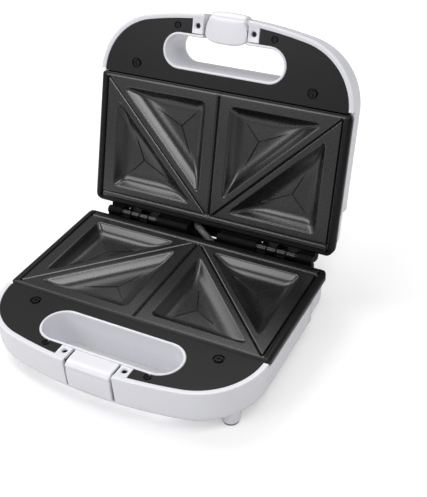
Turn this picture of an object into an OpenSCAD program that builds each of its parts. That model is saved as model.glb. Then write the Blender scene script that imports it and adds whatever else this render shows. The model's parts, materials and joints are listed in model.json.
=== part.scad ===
// Sandwich toaster with a hinged lid, two four-pocket cooking plates and a
// swing latch, modelled open, as it stands ready to be filled.
//
// Both halves are drawn in a half frame and then placed: x across the
// toaster, y from the handle to the hinge with 0 at the front edge of the
// cooking area, and z as the depth away from the parting plane. The base
// turns that depth downwards, the lid upwards and then back about the hinge.

/* [Body] */
// Border of the housings beside the cooking area
side_border = 7.5; // [6.5:0.5:12]
// How much the housings step in beside the rear half of the plates
rear_step = 2.5; // [1:0.5:4]
// Radius of the housing's two front corners
cheek_r = 54; // [44:1:60]
// Distance of the corner centres in front of the cooking area
cheek_y = 3; // [2:0.5:6]
// Reach of the handle in front of the cooking area
handle_reach = 63; // [60:1:75]
// Radius of the housing's two rear corners
rear_corner_r = 12; // [8:1:16]
// Wall thickness of the housings
wall = 2.6; // [2:0.1:3.5]
// How much a side wall leans in over its height
draft = 1.2; // [0.5:0.1:2.5]
// Depth of the base housing below the parting plane
base_depth = 31.7; // [30:0.5:45]
// Rounding of the base housing's lower edge
base_round = 10; // [6:1:12]
// Depth of the lid housing above the parting plane
lid_depth = 36; // [34:0.5:50]
// Rounding of the lid housing's upper edge
lid_round = 18; // [8:1:20]
// Rise of the lid's crowned top
crown = 1; // [0.4:0.2:3]

/* [Plates] */
// Width of the cooking area between its side grooves
land_w = 210; // [200:1:214]
// Depth of the cooking area from front to back
land_d = 105; // [100:1:110]
// Border of the plate behind the cooking area
plate_rear = 7; // [5:0.5:8]
// Width of the slope round the plate's rim
plate_slope = 3.3; // [2:0.1:3.6]
// Thickness of the cast plate
plate_t = 2.6; // [2:0.1:3]
// Height of the plate's outer edge
plate_edge = 5.2; // [4.5:0.1:5.6]
// Depth of a sandwich pocket
pocket_d = 8.5; // [6:0.5:9]
// Lean of a pocket's two short walls
pocket_lean = 2.4; // [1.5:0.1:4]
// Lean of a pocket's long wall
pocket_long_lean = 5.2; // [3:0.1:7]
// Width of the rim beside the middle groove
rib_mid = 11; // [8:0.5:14]
// Width of the rim along the front edge
rib_front = 7; // [5:0.5:10]
// Width of the rim along the back edge
rib_back = 9; // [6:0.5:12]
// Half width of the rim along a slanted groove
rib_slant = 5.6; // [4:0.2:8]
// Width of the grooves that part the pockets
groove_w = 1.2; // [0.8:0.1:2]

/* [Handle] */
// Length of the hand slot
slot_len = 114; // [100:1:120]
// Width of the hand slot
slot_w = 30.2; // [26:0.2:32]
// Distance of the slot's middle line in front of the cooking area
slot_y = 30.4; // [28:0.2:32]
// How much narrower the lid's hand slot is all round
lid_slot_inset = 2.3; // [0:0.1:3]
// Thickness of the slot's lining
lining_t = 2.2; // [1.8:0.1:3]
// Width of the white rim around the cover panel
rim_w = 3.9; // [3:0.1:6]
// Thickness of the cover panel
cover_t = 2.5; // [2:0.1:3.5]

/* [Hinge] */
// Opening angle of the lid
lid_open = 105.85; // [95:0.05:115]
// Distance of the hinge axis behind the cooking area
hinge_back = 12.9; // [12.5:0.1:16]
// Radius of the hinge knuckles
knuckle_r = 3.2; // [2.8:0.1:3.4]
// Length of one hinge over its four knuckles
hinge_len = 34; // [28:1:40]
// Distance of each hinge's middle from the side of the cooking area
hinge_side = 40.5; // [35:0.5:50]
// Radius of the hinge pins
hinge_pin_r = 1.4; // [1.1:0.1:1.6]
// Distance of the hinge rails' ends from the sides of the cooking area
rail_side = 9; // [7:1:17]
// Thickness of the rails' rear skin
rail_skin = 2.2; // [1.8:0.1:2.6]

/* [Latch] */
// Width of the latch flap
flap_w = 37; // [32:0.2:40]
// Thickness of the latch flap
flap_t = 3.1; // [2.4:0.1:3.6]
// Reach of the flap behind its pin
flap_reach = 17.1; // [16:0.1:18.4]
// Radius of the latch pin
latch_pin_r = 1.25; // [1:0.05:1.4]
// Distance of the latch pin behind the handle's front
latch_pin_y = 5.4; // [5.2:0.1:6.4]
// Depth of the latch pin above the parting plane
latch_pin_d = 10; // [9.5:0.1:11]
// Width of the catch's snap tab
tab_w = 36.6; // [28:0.2:38]
// Width of the slits beside the snap tab
slit_w = 2; // [1.4:0.1:2.4]
// Depth of the slits down the front
slit_d = 24; // [18:0.5:26]
// Width of the white latch field in the cover panels
field_w = 60; // [56:1:66]

/* [Feet] */
// Height of the feet below the base housing
foot_h = 9.6; // [7:0.2:14]
// Radius of a foot at its lower end
foot_r = 6.8; // [5:0.1:8]
// Distance of the feet from the sides of the housing
foot_side = 19.5; // [18:0.5:30]
// Distance of the front feet in front of the cooking area
foot_front = 27; // [20:1:32]
// Distance of the rear feet in front of the housing's back
foot_rear = 12.2; // [11:0.2:20]
// Thickness of the rubber pads
pad_t = 1.6; // [1:0.1:2.5]

/* [Heating] */
// Radius of the tubular heaters
heater_r = 3.2; // [2.6:0.1:3.4]
// Distance of the heater loop from the sides of the cooking area
heater_side = 55; // [45:1:65]
// Radius of the heater's bends
heater_bend = 14; // [10:1:20]
// Thickness of the heat shields
shield_t = 0.8; // [0.5:0.1:1.2]
// Radius of the lead sleeve that crosses the hinge
sleeve_r = 3.2; // [2.4:0.1:3.4]
// Radius of the cord inlet's bore
inlet_r = 3.4; // [2.8:0.1:3.8]

/* [Screws] */
// Head radius of the large panel screws
big_head_r = 3.4; // [2.8:0.1:3.8]
// Head radius of the small screws
small_head_r = 2.3; // [1.9:0.1:2.5]
// Shank radius of every screw
shank_r = 1.4; // [1:0.1:1.6]
// Distance of the large screws from the sides of the housing
big_screw_side = 34; // [28:0.5:38]
// Distance of the large screws in front of the cooking area
big_screw_y = 14.6; // [10:0.1:18]
// Distance of the small screws beside the latch field
small_screw_gap = 12.5; // [9:0.5:15]

/* [Hidden] */
$fn = 48;
eps = 0.01;
// Depth of the two cooking faces: half the gap between the closed halves
face_d = 0.3;
// Depth of the housings' rims and of the slot linings' lips
lip_d = 0.4;
// Depth of the cover panels' faces
cover_d = 0.9;
// Clearance of a seated piece
fit = 0.25;
// Clearance between a plate's edge and the wall under it
seat_gap = 0.3;
// Radial clearance of a shaft that turns in its hole
run = 0.05;

body_x = land_w / 2 + side_border;
body_w = 2 * body_x;
cheek_x = body_x - cheek_r;
// Front arc that joins the two corner arcs without a kink
nose_r = (pow(cheek_x, 2) + pow(handle_reach - cheek_y, 2) - pow(cheek_r, 2))
       / (2 * (handle_reach - cheek_y - cheek_r));
nose_a = asin(cheek_x / (nose_r - cheek_r));

land_x = land_w / 2;
plate_x = body_x - 0.5;
plate_back = land_d + plate_rear;
plate_front = plate_slope + 0.3;
// Back end of the rims round the cover panels
rim_back = plate_front + 1.9;
wall_top = plate_edge + seat_gap;

hinge_y = land_d + hinge_back;
rear_skin_y = 2.6;
rear_y = hinge_y + rear_skin_y;
// Back of the housings, flush with the plates' rear edge
body_back = plate_back + 1.2;
step_y = land_d * 0.73;
// The rails' rear lips meet a little past the resting angle and stop the lid
stop_margin = 2.2;
rail_d = rear_skin_y * tan(lid_open / 2 + stop_margin);
rail_foot = 12.2;
hood_foot = 17;
hood_x = 25;
rail_front = body_back + fit;
rail_x = land_x - rail_side;
hinge_x = land_x - hinge_side;
foot_x = body_x - foot_side;
heater_x = land_x - heater_side;
big_screw_x = body_x - big_screw_side;
small_screw_x = field_w / 2 + small_screw_gap;

slot_r = slot_w / 2;
slot_x = slot_len / 2 - slot_r;
small_screw_y = field_back(0) - 3.1;
cover_floor = cover_d + cover_t;
ledge_t = 2;
ledge_w = 2.6;

parting_z = base_depth + foot_h;
// Rearmost point of the open lid, on its upper edge's round
lid_top_y = hinge_y + (hinge_y + handle_reach - draft - lid_round) * -cos(lid_open)
          + (lid_depth - lid_round) * sin(lid_open) + lid_round;
bead_y = -handle_reach;
centre_y = (lid_top_y + bead_y) / 2;

pin_y = latch_pin_y - handle_reach;
window_x = flap_w / 2 + 0.8;
window_d = latch_pin_d + 8.4;
window_back = pin_y + 8.6;
catch_x = tab_w / 2 + slit_w;
function field_back(inset) = -slot_y - slot_r - lining_t + inset;
ear_d = 0.6;
// The field's ears stand behind the rim; its ledge is cut away there
ear_front = 3.3 - handle_reach;

white = "#ececf2";
black = "#26262a";
coating = "#3a3a3c";
steel = "#b9bcc0";

// ---- placing -------------------------------------------------------------

module in_base() translate([0, -centre_y, parting_z]) mirror([0, 0, 1]) children();

module in_lid() translate([0, hinge_y - centre_y, parting_z]) rotate([-lid_open, 0, 0])
    translate([0, -hinge_y, 0]) children();

module both_sides() {
    children();
    mirror([1, 0, 0]) children();
}

// A profile in the y-depth plane, drawn out across the toaster
module across(half) translate([-half, 0, 0]) rotate([90, 0, 90]) linear_extrude(2 * half) children();

module slab(d0, d1) translate([0, 0, d0]) linear_extrude(d1 - d0) children();

// Box between two opposite corners
module block(lo, hi) translate(lo) cube(hi - lo);

// ---- outlines ------------------------------------------------------------

function arc(c, r, a0, a1, n) =
    [for (i = [0 : n]) let (a = a0 + (a1 - a0) * i / n) c + r * [cos(a), sin(a)]];

// Front arc without its ends, which belong to the corner arcs
function nose(g) = let (
    n = 10,
    a = arc([0, nose_r - handle_reach], nose_r - g, 270 - nose_a, 270 + nose_a, n))
    [for (i = [1 : n - 1]) a[i]];
function right_cheek(g, back = 0) =
    arc([cheek_x, -cheek_y], cheek_r - g, 270 + nose_a, 360 - asin(back / (cheek_r - g)), 10);
function left_cheek(g, back = 0) =
    arc([-cheek_x, -cheek_y], cheek_r - g, 180 + asin(back / (cheek_r - g)), 270 - nose_a, 10);

// Outline of a housing, g inside its widest line; the rear corners stand further in
function body_outline(g) = let (
    r = max(rear_corner_r - g, 1),
    x = body_x - rear_step - 0.05 - g - r,
    y = body_back - g - r)
    concat(nose(g), right_cheek(g), [[body_x - g, step_y + wall]], arc([x, y], r, 0, 90, 6),
           arc([-x, y], r, 90, 180, 6), [[g - body_x, step_y + wall]], left_cheek(g));

// Outline of the handle field in front of the plate, its back edge moved forward by back
function handle_outline(g, back = 0) = concat(nose(g), right_cheek(g, back), left_cheek(g, back));

// Outline of the hand slot, drawn in by inset and grown by g
function slot_outline(inset, g) = let (x = slot_x - inset, r = slot_r - inset + g)
    concat(arc([x, -slot_y], r, -90, 90, 12), arc([-x, -slot_y], r, 90, 270, 12));

plate_rear_r = 9;
plate_front_r = 5;
function plate_outline(g) = let (
    rr = plate_rear_r - g,
    rf = plate_front_r - g,
    x = plate_x - g,
    y = plate_back - g,
    f = g - plate_front)
    concat(arc([x - rf, f + rf], rf, -90, 0, 3), arc([x - rr, y - rr], rr, 0, 90, 6),
           arc([rr - x, y - rr], rr, 90, 180, 6), arc([rf - x, f + rf], rf, 180, 270, 3));

// Corners rounded by arcs of n steps; points run counter-clockwise
function rounded(p, r, n) = [for (i = [0 : len(p) - 1])
    let (v = p[i], a = p[(i + len(p) - 1) % len(p)] - v, b = p[(i + 1) % len(p)] - v,
         u = a / norm(a), w = b / norm(b), h = acos(u * w) / 2, m = (u + w) / norm(u + w),
         c = v + m * r / sin(h), s = v + u * r / tan(h) - c, start = atan2(s[1], s[0]))
    each arc(c, r, start, start + 180 - 2 * h, n)];

// The slanted groove runs from the back of the middle groove to the front corner
slant = norm([1 / land_x, 1 / land_d]);
// Pocket with its square corner at the front middle
function front_pocket(s, l) = let (x = rib_mid + s, y = rib_front + s, k = 1 - (rib_slant + l) * slant)
    [[x, y], [land_x * (k - y / land_d), y], [x, land_d * (k - x / land_x)]];
// Pocket with its square corner at the back outside
function back_pocket(s, l) = let (
    x = land_x - rib_mid - s,
    y = land_d - rib_back - s,
    k = 1 + (rib_slant + l) * slant)
    [[x, y], [land_x * (k - y / land_d), y], [x, land_d * (k - x / land_x)]];

// ---- sweeps --------------------------------------------------------------

function unit(v) = v / norm(v);
function heading(p, i) = unit(p[min(i + 1, len(p) - 1)] - p[max(i - 1, 0)]);

// Round tube along a list of points; side is a direction that the path never takes
module tube(p, r, side, n = 10) {
    rings = [for (i = [0 : len(p) - 1]) let (t = heading(p, i), u = unit(cross(side, t)), w = cross(t, u))
        for (k = [0 : n - 1]) p[i] + r * (u * cos(360 * k / n) + w * sin(360 * k / n))];
    last = (len(p) - 1) * n;
    skin = [for (i = [0 : len(p) - 2]) for (k = [0 : n - 1])
        let (a = i * n + k, b = i * n + (k + 1) % n) each [[a, a + n, b], [b, a + n, b + n]]];
    polyhedron(rings, concat([[for (k = [0 : n - 1]) k]], skin, [[for (k = [n - 1 : -1 : 0]) last + k]]));
}

// ---- housings ------------------------------------------------------------

// Convex body through stacked outlines; each level is [inset, depth]
module stack(levels) hull() for (l = levels)
    translate([0, 0, l[1]]) linear_extrude(eps) polygon(body_outline(l[0]));

// The same body with the sides stepped in behind the line y = from
module stepped(edge, top, from) {
    last = edge[len(edge) - 1];
    difference() {
        stack(concat(edge, [top]));
        difference() {
            translate([-body_w, from, -1]) cube([2 * body_w, land_d, 2 * lid_depth]);
            hull() for (l = concat(edge, [[last[0], 2 * lid_depth]])) let (x = body_x - rear_step - l[0])
                translate([-x, land_d / 4, l[1]]) cube([2 * x, 2 * land_d, eps]);
        }
    }
}

function edge_levels(inset, floor_d, r) =
    [for (a = [0 : 18 : 90]) [inset + r * (1 - cos(a)), floor_d - r + r * sin(a)]];

module shell(depth, r, rise) {
    soft = 0.5;
    in_crown = 45;
    difference() {
        stepped(concat([[soft, lip_d], [0, lip_d + soft]], edge_levels(draft, depth, r)),
                [in_crown, depth + rise], step_y);
        stepped(concat([[wall, cover_floor + ledge_t]], edge_levels(draft + wall, depth - wall, r - wall)),
                [in_crown, depth + rise - wall], step_y - wall);
    }
}

// One post for each panel screw, from the cover's seat into the housing's floor,
// with a collar at its top
big_post = 4;
small_post = 3;
collar = 0.5;
module screw_posts(depth) {
    top = cover_floor + ledge_t / 2;
    both_sides() {
        translate([big_screw_x, -big_screw_y, top]) cylinder(h = depth - 1 - top, r = big_post);
        translate([small_screw_x, small_screw_y, top]) cylinder(h = depth - 4 - top, r = small_post);
    }
}

module housing(depth, r, rise, inset) {
    difference() {
        union() {
            shell(depth, r, rise);
            slab(lip_d, depth - wall / 2) polygon(slot_outline(inset, lining_t));
            screw_posts(depth);
            heat_wall(depth, r);
        }
        slab(-1, depth + rise + 1) polygon(slot_outline(inset, 0));
        panel_seat(inset);
        screw_pilots();
        // side and rear walls end lower, under the edge of the plate
        block([-body_x, -rim_back, -1], [body_x, rear_y + 10, wall_top]);
        // way for the lead sleeve, under the rail's hood
        block([sleeve_from, body_back - 2 * wall, 0], [sleeve_to, body_back + 2 * wall, hood_foot - 0.2]);
    }
}

// Seat of the cover panel: its recess and the opening inside its ledge
module panel_seat(inset) difference() {
    union() {
        slab(-1, cover_floor) polygon(handle_outline(rim_w));
        slab(cover_floor - eps, cover_floor + ledge_t + eps) polygon(handle_outline(rim_w + ledge_w));
        block([-field_w / 2, ear_front - fit, -1], [field_w / 2, field_back(inset) - fit, 19]);
    }
    slab(-2, cover_floor + ledge_t + 1) polygon(slot_outline(inset, lining_t));
    slab(cover_floor, cover_floor + ledge_t + 1) both_sides() {
        translate([big_screw_x, -big_screw_y]) circle(big_post + collar);
        translate([small_screw_x, small_screw_y]) circle(small_post + collar);
    }
}

module screw_pilots() both_sides() {
    translate([big_screw_x, -big_screw_y, 0]) cylinder(h = 14, r = shank_r + run);
    translate([small_screw_x, small_screw_y, 0]) cylinder(h = 13, r = shank_r + run);
}

// Wall between the hot plate and the handle, up to half way into the side walls
module heat_wall(depth, r) let (
    edge = [for (l = edge_levels(draft + wall / 2, depth - wall / 2, r - wall / 2)) [body_x - l[0], l[1]]],
    half = concat([[edge[0][0], wall_top + 0.4]], edge))
    translate([0, -rim_back, 0]) rotate([90, 0, 0]) linear_extrude(2)
        polygon(concat(half, [for (i = [len(half) - 1 : -1 : 0]) [-half[i][0], half[i][1]]]));

module base_housing() color(white) in_base() difference() {
    union() {
        housing(base_depth, base_round, 0, 0);
        feet();
    }
    catch_window();
    vents();
    underside_wells();
    inlet_hole();
}

module feet() both_sides() for (y = [-foot_front, body_back - foot_rear])
    translate([foot_x, y, base_depth - 8]) cylinder(h = 8 + foot_h - pad_t, r1 = foot_r + 2.4, r2 = foot_r);

// The front wall and its ledge are cut away round the snap tab
module catch_window() block([-catch_x, -handle_reach - 5, -1], [catch_x, field_back(0) - fit, slit_d]);

module vents() {
    vent_w = 2.4;
    vent_len = 34;
    vent_step = 9;
    vent_y = 36;
    for (i = [-4 : 4]) translate([i * vent_step - vent_w / 2, vent_y, base_depth - wall - 1])
        cube([vent_w, vent_len, wall + 2]);
}

well_x = foot_x - 21;
well_front = 12;
well_back = land_d - 7;
module underside_wells() both_sides() for (y = [well_front, well_back]) translate([well_x, y, 0]) {
    translate([0, 0, base_depth - 1.4]) cylinder(h = 3, r = 4);
    translate([0, 0, base_depth - 6]) cylinder(h = 6, r = shank_r + run);
}

inlet_x = -hinge_x / 1.3;
inlet_d = 19;
inlet_body_r = inlet_r + 1.6;
inlet_flange_r = inlet_body_r + 1.3;
// The flange lies in a flat spot face, as the wall leans a little
inlet_face = body_back - 1.9;
module inlet_hole() translate([inlet_x, inlet_face, inlet_d]) rotate([-90, 0, 0]) {
    translate([0, 0, -10]) cylinder(h = 14, r = inlet_body_r + run);
    cylinder(h = 4, r = inlet_flange_r + fit);
}

module lid_housing() color(white) in_lid() difference() {
    housing(lid_depth, lid_round, crown, lid_slot_inset);
    // window for the latch, through the front wall and its ledge
    block([-window_x, -handle_reach - 5, -1], [window_x, window_back, window_d]);
    // relief in the slot's lining for the end of the flap
    lining_y = field_back(lid_slot_inset);
    block([-window_x, lining_y - 1, -1], [window_x, lining_y + lining_t + 3, ear_d + flap_t + 2.6]);
    for (x = [-lens_x, lens_x]) translate([x, lens_y, lid_depth - wall - 1])
        cylinder(h = wall + crown + 2, r = lens_r + run);
}

// ---- cover panels --------------------------------------------------------

module cover_panel(inset) {
    well_d = 1.3;
    difference() {
        slab(cover_d, cover_floor - 0.05) polygon(handle_outline(rim_w + fit, plate_front + 0.7 - cheek_y));
        slab(0, cover_floor + 1) polygon(slot_outline(inset, lining_t + fit));
        block([-field_w / 2, -handle_reach, 0], [field_w / 2, field_back(inset) + 1.2, cover_floor + 1]);
        both_sides() {
            translate([big_screw_x, -big_screw_y, -1]) {
                cylinder(h = 1 + cover_d + well_d, r = big_head_r + 1.1);
                cylinder(h = 2 + cover_floor, r = shank_r + 0.2);
            }
            translate([small_screw_x, small_screw_y, -1]) {
                cylinder(h = 1 + cover_d + well_d, r = small_head_r + 0.7);
                cylinder(h = 2 + cover_floor, r = shank_r + 0.2);
            }
        }
    }
}

module base_cover() color(black) in_base() cover_panel(0);
module lid_cover() color(black) in_lid() cover_panel(lid_slot_inset);

// ---- cooking plates ------------------------------------------------------

module pocket_solid(top, low, d0, d1, r) hull() {
    slab(d0, d0 + eps) polygon(rounded(top, r, 4));
    slab(d1 - eps, d1) polygon(rounded(low, r, 4));
}

module cooking_plate() {
    under = face_d + plate_t;
    floor_d = face_d + pocket_d;
    grow = -plate_t;
    difference() {
        union() {
            hull() {
                slab(face_d, face_d + eps) polygon(plate_outline(plate_slope));
                slab(face_d + 2.2, plate_edge) polygon(plate_outline(0));
            }
            both_sides() {
                pocket_solid(front_pocket(grow, grow), front_pocket(grow + pocket_lean, grow + pocket_long_lean),
                             face_d, floor_d + plate_t, 4.5);
                pocket_solid(back_pocket(grow, grow), back_pocket(grow + pocket_lean, grow + pocket_long_lean),
                             face_d, floor_d + plate_t, 4.5);
            }
        }
        plate_hollow(under);
        both_sides() {
            pocket_solid(front_pocket(0, 0), front_pocket(pocket_lean, pocket_long_lean), face_d - eps, floor_d, 3);
            pocket_solid(back_pocket(0, 0), back_pocket(pocket_lean, pocket_long_lean), face_d - eps, floor_d, 3);
            slanted_groove();
            side_groove();
        }
        translate([-groove_w / 2, 0, face_d - 1]) cube([groove_w, land_d, 1.9]);
        back_step();
    }
}

// Hollow under the plate, inside its edge and round the pockets
module plate_hollow(under) difference() {
    slab(under, plate_edge + 1) polygon(plate_outline(plate_slope + 0.8));
    both_sides() {
        slab(0, plate_edge + 2) polygon(front_pocket(-plate_t, -plate_t));
        slab(0, plate_edge + 2) polygon(back_pocket(-plate_t, -plate_t));
    }
}

module slanted_groove() {
    a = atan2(land_d, land_x);
    translate([land_x, 0, face_d - 1]) rotate([0, 0, 180 - a])
        translate([0, -groove_w / 2, 0]) cube([norm([land_x, land_d]), groove_w, 1.9]);
}

module side_groove() translate([land_x, 1.5, face_d - 1]) cube([groove_w, land_d + 2, 2.1]);

// Behind the raised bead at the hinge edge, the border lies a little lower
module back_step() {
    bead_w = 3.6;
    translate([-land_x - 2, land_d + bead_w - 1.4, face_d - 1]) cube([land_w + 4, plate_rear, 1.7]);
    translate([-land_x, land_d - 2.4, face_d - 1]) cube([land_w, 1, 1.6]);
}

module base_plate() color(coating) in_base() cooking_plate();
module lid_plate() color(coating) in_lid() cooking_plate();

// ---- heaters, shields and controls ----------------------------------------

heater_d = face_d + pocket_d + plate_t + 0.1 + heater_r;
heater_front = 20;
heater_end = 14;
heater_path = let (x = heater_x, b = heater_bend, y0 = heater_front, y1 = land_d - 14)
    concat([[heater_end, y1 + 8], [heater_end, y1 + 3], [heater_end + 1.5, y1 - 1], [heater_end + 5, y1 - 3]],
           arc([x - b, y1 - b - 3], b, 90, 0, 6), arc([x - b, y0 + b], b, 0, -90, 6),
           arc([b - x, y0 + b], b, -90, -180, 6), arc([b - x, y1 - b - 3], b, 180, 90, 6),
           [[-heater_end - 5, y1 - 3], [-heater_end - 1.5, y1 - 1], [-heater_end, y1 + 3], [-heater_end, y1 + 8]]);
module heater() tube([for (p = heater_path) [p[0], p[1], heater_d]], heater_r, [0, 0, 1]);

shield_x = land_x - 3;
shield_y = 3;
shield_w = land_d - 8;
shield_d = heater_d + heater_r + 1.2;
// Bright tray that hangs from the plate and throws the heat back
module shield() difference() {
    block([-shield_x, shield_y, face_d + plate_t + 0.05], [shield_x, shield_y + shield_w, shield_d + shield_t]);
    block([shield_t - shield_x, shield_y + shield_t, 0],
          [shield_x - shield_t, shield_y + shield_w - shield_t, shield_d]);
    both_sides() translate([heater_end - 4, land_d - 12, heater_d - 4]) cube([8, 20, 8]);
}

module base_heater() color(steel) in_base() heater();
module lid_heater() color(steel) in_lid() heater();
module base_shield() color("#d5d7da") in_base() shield();
module lid_shield() color("#d5d7da") in_lid() shield();

// Bimetal disc thermostat on the underside of the plate, between the pockets
module thermostat() color(steel) in_base() translate([0, 60, face_d + plate_t + 0.05]) {
    cylinder(h = 4, r = 5.4);
    translate([0, 0, 4]) cylinder(h = 3, r = 4.2);
    for (s = [-1, 1]) translate([-1.2, s * 7 - 3.5, 4.6]) cube([2.4, 7, 0.8]);
}

fuse_y = 20;
module thermal_fuse() color("#e8e2c8") in_base()
    translate([0, fuse_y, face_d + plate_t + 2.3]) rotate([-90, 0, 0]) {
    cylinder(h = 18, r = 2.2);
    translate([0, 0, -5]) cylinder(h = 28, r = 0.6);
}

// Three clamps in a row on the base's floor, beside the cord's way in
clamp_step = 11;
clamp_r = 2;
block_w = 14;
block_h = 8;
block_x = inlet_x - 1.5 * clamp_step;
block_y = land_d - 22;
block_top = base_depth - wall - block_h - 0.2;
module terminal_block() color("#e9e4d6") in_base() difference() {
    translate([block_x, block_y, block_top]) cube([3 * clamp_step, block_w, block_h]);
    for (i = [0.5 : 2.5]) translate([block_x + clamp_step * i, block_y - 1, block_top + block_h / 2])
        rotate([-90, 0, 0]) cylinder(h = block_w + 2, r = clamp_r);
}

module cord_inlet() color(black) in_base()
    translate([inlet_x, inlet_face, inlet_d]) rotate([-90, 0, 0]) difference() {
    union() {
        translate([0, 0, -8]) cylinder(h = 9, r = inlet_body_r);
        translate([0, 0, run]) cylinder(h = 2.4, r1 = inlet_flange_r, r2 = inlet_flange_r - 0.8);
        translate([0, 0, -7]) cylinder(h = 3.4, r = inlet_body_r + 0.8);
    }
    translate([0, 0, -9]) cylinder(h = 12, r = inlet_r);
}

lens_x = 13;
lens_y = 7;
lens_r = 4.2;
module lens() in_lid() translate([0, lens_y, 0]) {
    translate([0, 0, lid_depth - wall]) cylinder(h = wall + crown + 0.8, r = lens_r);
    translate([0, 0, lid_depth - wall - 1.6 + crown]) cylinder(h = 1.5, r = lens_r + 1.3);
}
module power_lens() color("#c8281e") translate([-lens_x, 0, 0]) lens();
module ready_lens() color("#2f9a3c") translate([lens_x, 0, 0]) lens();

module lamp_holder() color("#d9d6cc") in_lid()
    translate([0, lens_y, lid_depth - wall - 1.6 + crown]) difference() {
    translate([-22, -7, -7.6]) cube([44, 14, 7.4]);
    for (x = [-lens_x, lens_x]) translate([x, 0, -6]) cylinder(h = 7, r = 3.2);
}

// Lead sleeve from the base into the lid: out through the rear wall, up under
// the rail's hood, round the hinge axis in a slack bend and in again above,
// moving sideways on its way
sleeve_bend = 6;
sleeve_front = 2.2;
sleeve_reach = sleeve_bend - sleeve_front;
sleeve_arc = [for (a = [0 : 1 / 8 : 1]) let (t = a * lid_open)
    [sleeve_reach - sleeve_bend * cos(t), sleeve_bend * sin(t) - sleeve_reach * tan(lid_open / 2)]];
// The route below the bend: [forward, down] from the bend's end
sleeve_leg = [[10.2, 13], [9.7, 10.5], [7.8, 8.3], [5.4, 6.6], [3, 5], [1.3, 3.2], [0.4, 1.5]];
function leg_point(l) = [-sleeve_front - l[0], -sleeve_reach * tan(lid_open / 2) - l[1]];
function turned(p, a) = [p[0] * cos(a) + p[1] * sin(a), p[1] * cos(a) - p[0] * sin(a)];
sleeve_points = concat([for (l = sleeve_leg) leg_point(l)], sleeve_arc,
    [for (i = [len(sleeve_leg) - 1 : -1 : 0])
        let (p = leg_point(sleeve_leg[i])) turned([p[0], -p[1]], lid_open)]);
function sleeve_side(i) = sleeve_x - sleeve_across * sin(90 * max(min((i - sleeve_mid) / 7, 1), -1));
sleeve_mid = (len(sleeve_points) - 1) / 2;
sleeve_across = 10;
sleeve_x = -3;
sleeve_from = sleeve_x - sleeve_across - sleeve_r - 1;
sleeve_to = sleeve_x + sleeve_across + sleeve_r + 1;
module lead_sleeve() color("#c9ccd2") translate([0, hinge_y - centre_y, parting_z])
    tube([for (i = [0 : len(sleeve_points) - 1]) [sleeve_side(i), sleeve_points[i][0], sleeve_points[i][1]]],
         sleeve_r, [1, 0, 0], 12);

// ---- hinges --------------------------------------------------------------

hinge_room = hinge_len / 2 + 1.4;
// Black cover of the hinge side: a skin behind the hinges with a lip over the
// housing's wall; bead adds the rod on the axis that closes the view between both
module hinge_rail(bead) difference() {
    union() {
        across(rail_x) polygon(rail_profile(rail_foot));
        across(hood_x) polygon(rail_profile(hood_foot));
        if (bead) rail_bead();
    }
    both_sides() {
        // room for the knuckles and, in front of the skin, for the hinge leaf
        translate([hinge_x - hinge_room, hinge_y, 0]) rotate([0, 90, 0])
            cylinder(h = 2 * hinge_room, r = knuckle_r + 0.4);
        block([hinge_x - hinge_room, plate_back, -5], [hinge_x + hinge_room, rear_y - rail_skin, 25]);
    }
    // channel for the lead sleeve
    block([sleeve_from, plate_back, -5], [sleeve_to, rear_y - 0.9, hood_foot - 1.2]);
    block([sleeve_from, plate_back, -5], [sleeve_to, rear_y + 10, 1.4 * rail_d]);
}

function rail_profile(foot) = [
    [plate_back + 0.4, rail_d + 0.6], [plate_back + 1, rail_d], [rear_y - 0.6, rail_d], [rear_y, rail_d + 0.6],
    [rear_y, foot - 2.5], [rear_y - 0.8, foot - 0.7], [rear_y - 2.6, foot], [rail_front, foot],
    [rail_front, wall_top - fit], [plate_back + 0.4, wall_top - fit]];

bead_r = rail_d - 0.35;
module rail_bead() {
    translate([-rail_x, hinge_y, 0]) rotate([0, 90, 0]) cylinder(h = 2 * rail_x, r = bead_r);
    translate([-rail_x, hinge_y - 2.6, 1]) cube([2 * rail_x, 3.6, rail_d]);
}

module base_hinge_rail() color(black) in_base() hinge_rail(true);
module lid_hinge_rail() color(black) in_lid() hinge_rail(false);

knuckle_gap = 0.4;
knuckle_len = (hinge_len - 3 * knuckle_gap) / 4;
leaf_t = 2;
leaf_y = body_back + run;
leaf_low = 11.8;
// Leaf with two knuckles; first is the place of its first knuckle, bore their radius
module hinge_leaf(first, bore) difference() {
    union() {
        for (i = [first, first + 2]) translate([i * (knuckle_len + knuckle_gap) - hinge_len / 2, 0, 0]) {
            translate([0, hinge_y, 0]) rotate([0, 90, 0]) cylinder(h = knuckle_len, r = knuckle_r);
            translate([0, leaf_y, 1]) cube([knuckle_len, hinge_y - leaf_y, wall_top + 1]);
        }
        translate([-hinge_len / 2, leaf_y, wall_top]) cube([hinge_len, leaf_t, leaf_low - wall_top]);
    }
    translate([-hinge_len / 2 - 1, hinge_y, 0]) rotate([0, 90, 0]) cylinder(h = hinge_len + 2, r = bore);
    for (s = [-1, 1]) translate([s * hinge_len / 4, leaf_y - 1, leaf_low - 2.4]) rotate([-90, 0, 0])
        cylinder(h = leaf_t + 2, r = 1.3);
}

module base_hinge_left() color(black) in_base() translate([-hinge_x, 0, 0]) hinge_leaf(0, hinge_pin_r + 0.02);
module base_hinge_right() color(black) in_base() translate([hinge_x, 0, 0]) hinge_leaf(0, hinge_pin_r + 0.02);
module lid_hinge_left() color(black) in_lid() translate([-hinge_x, 0, 0]) hinge_leaf(1, hinge_pin_r + run);
module lid_hinge_right() color(black) in_lid() translate([hinge_x, 0, 0]) hinge_leaf(1, hinge_pin_r + run);

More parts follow.
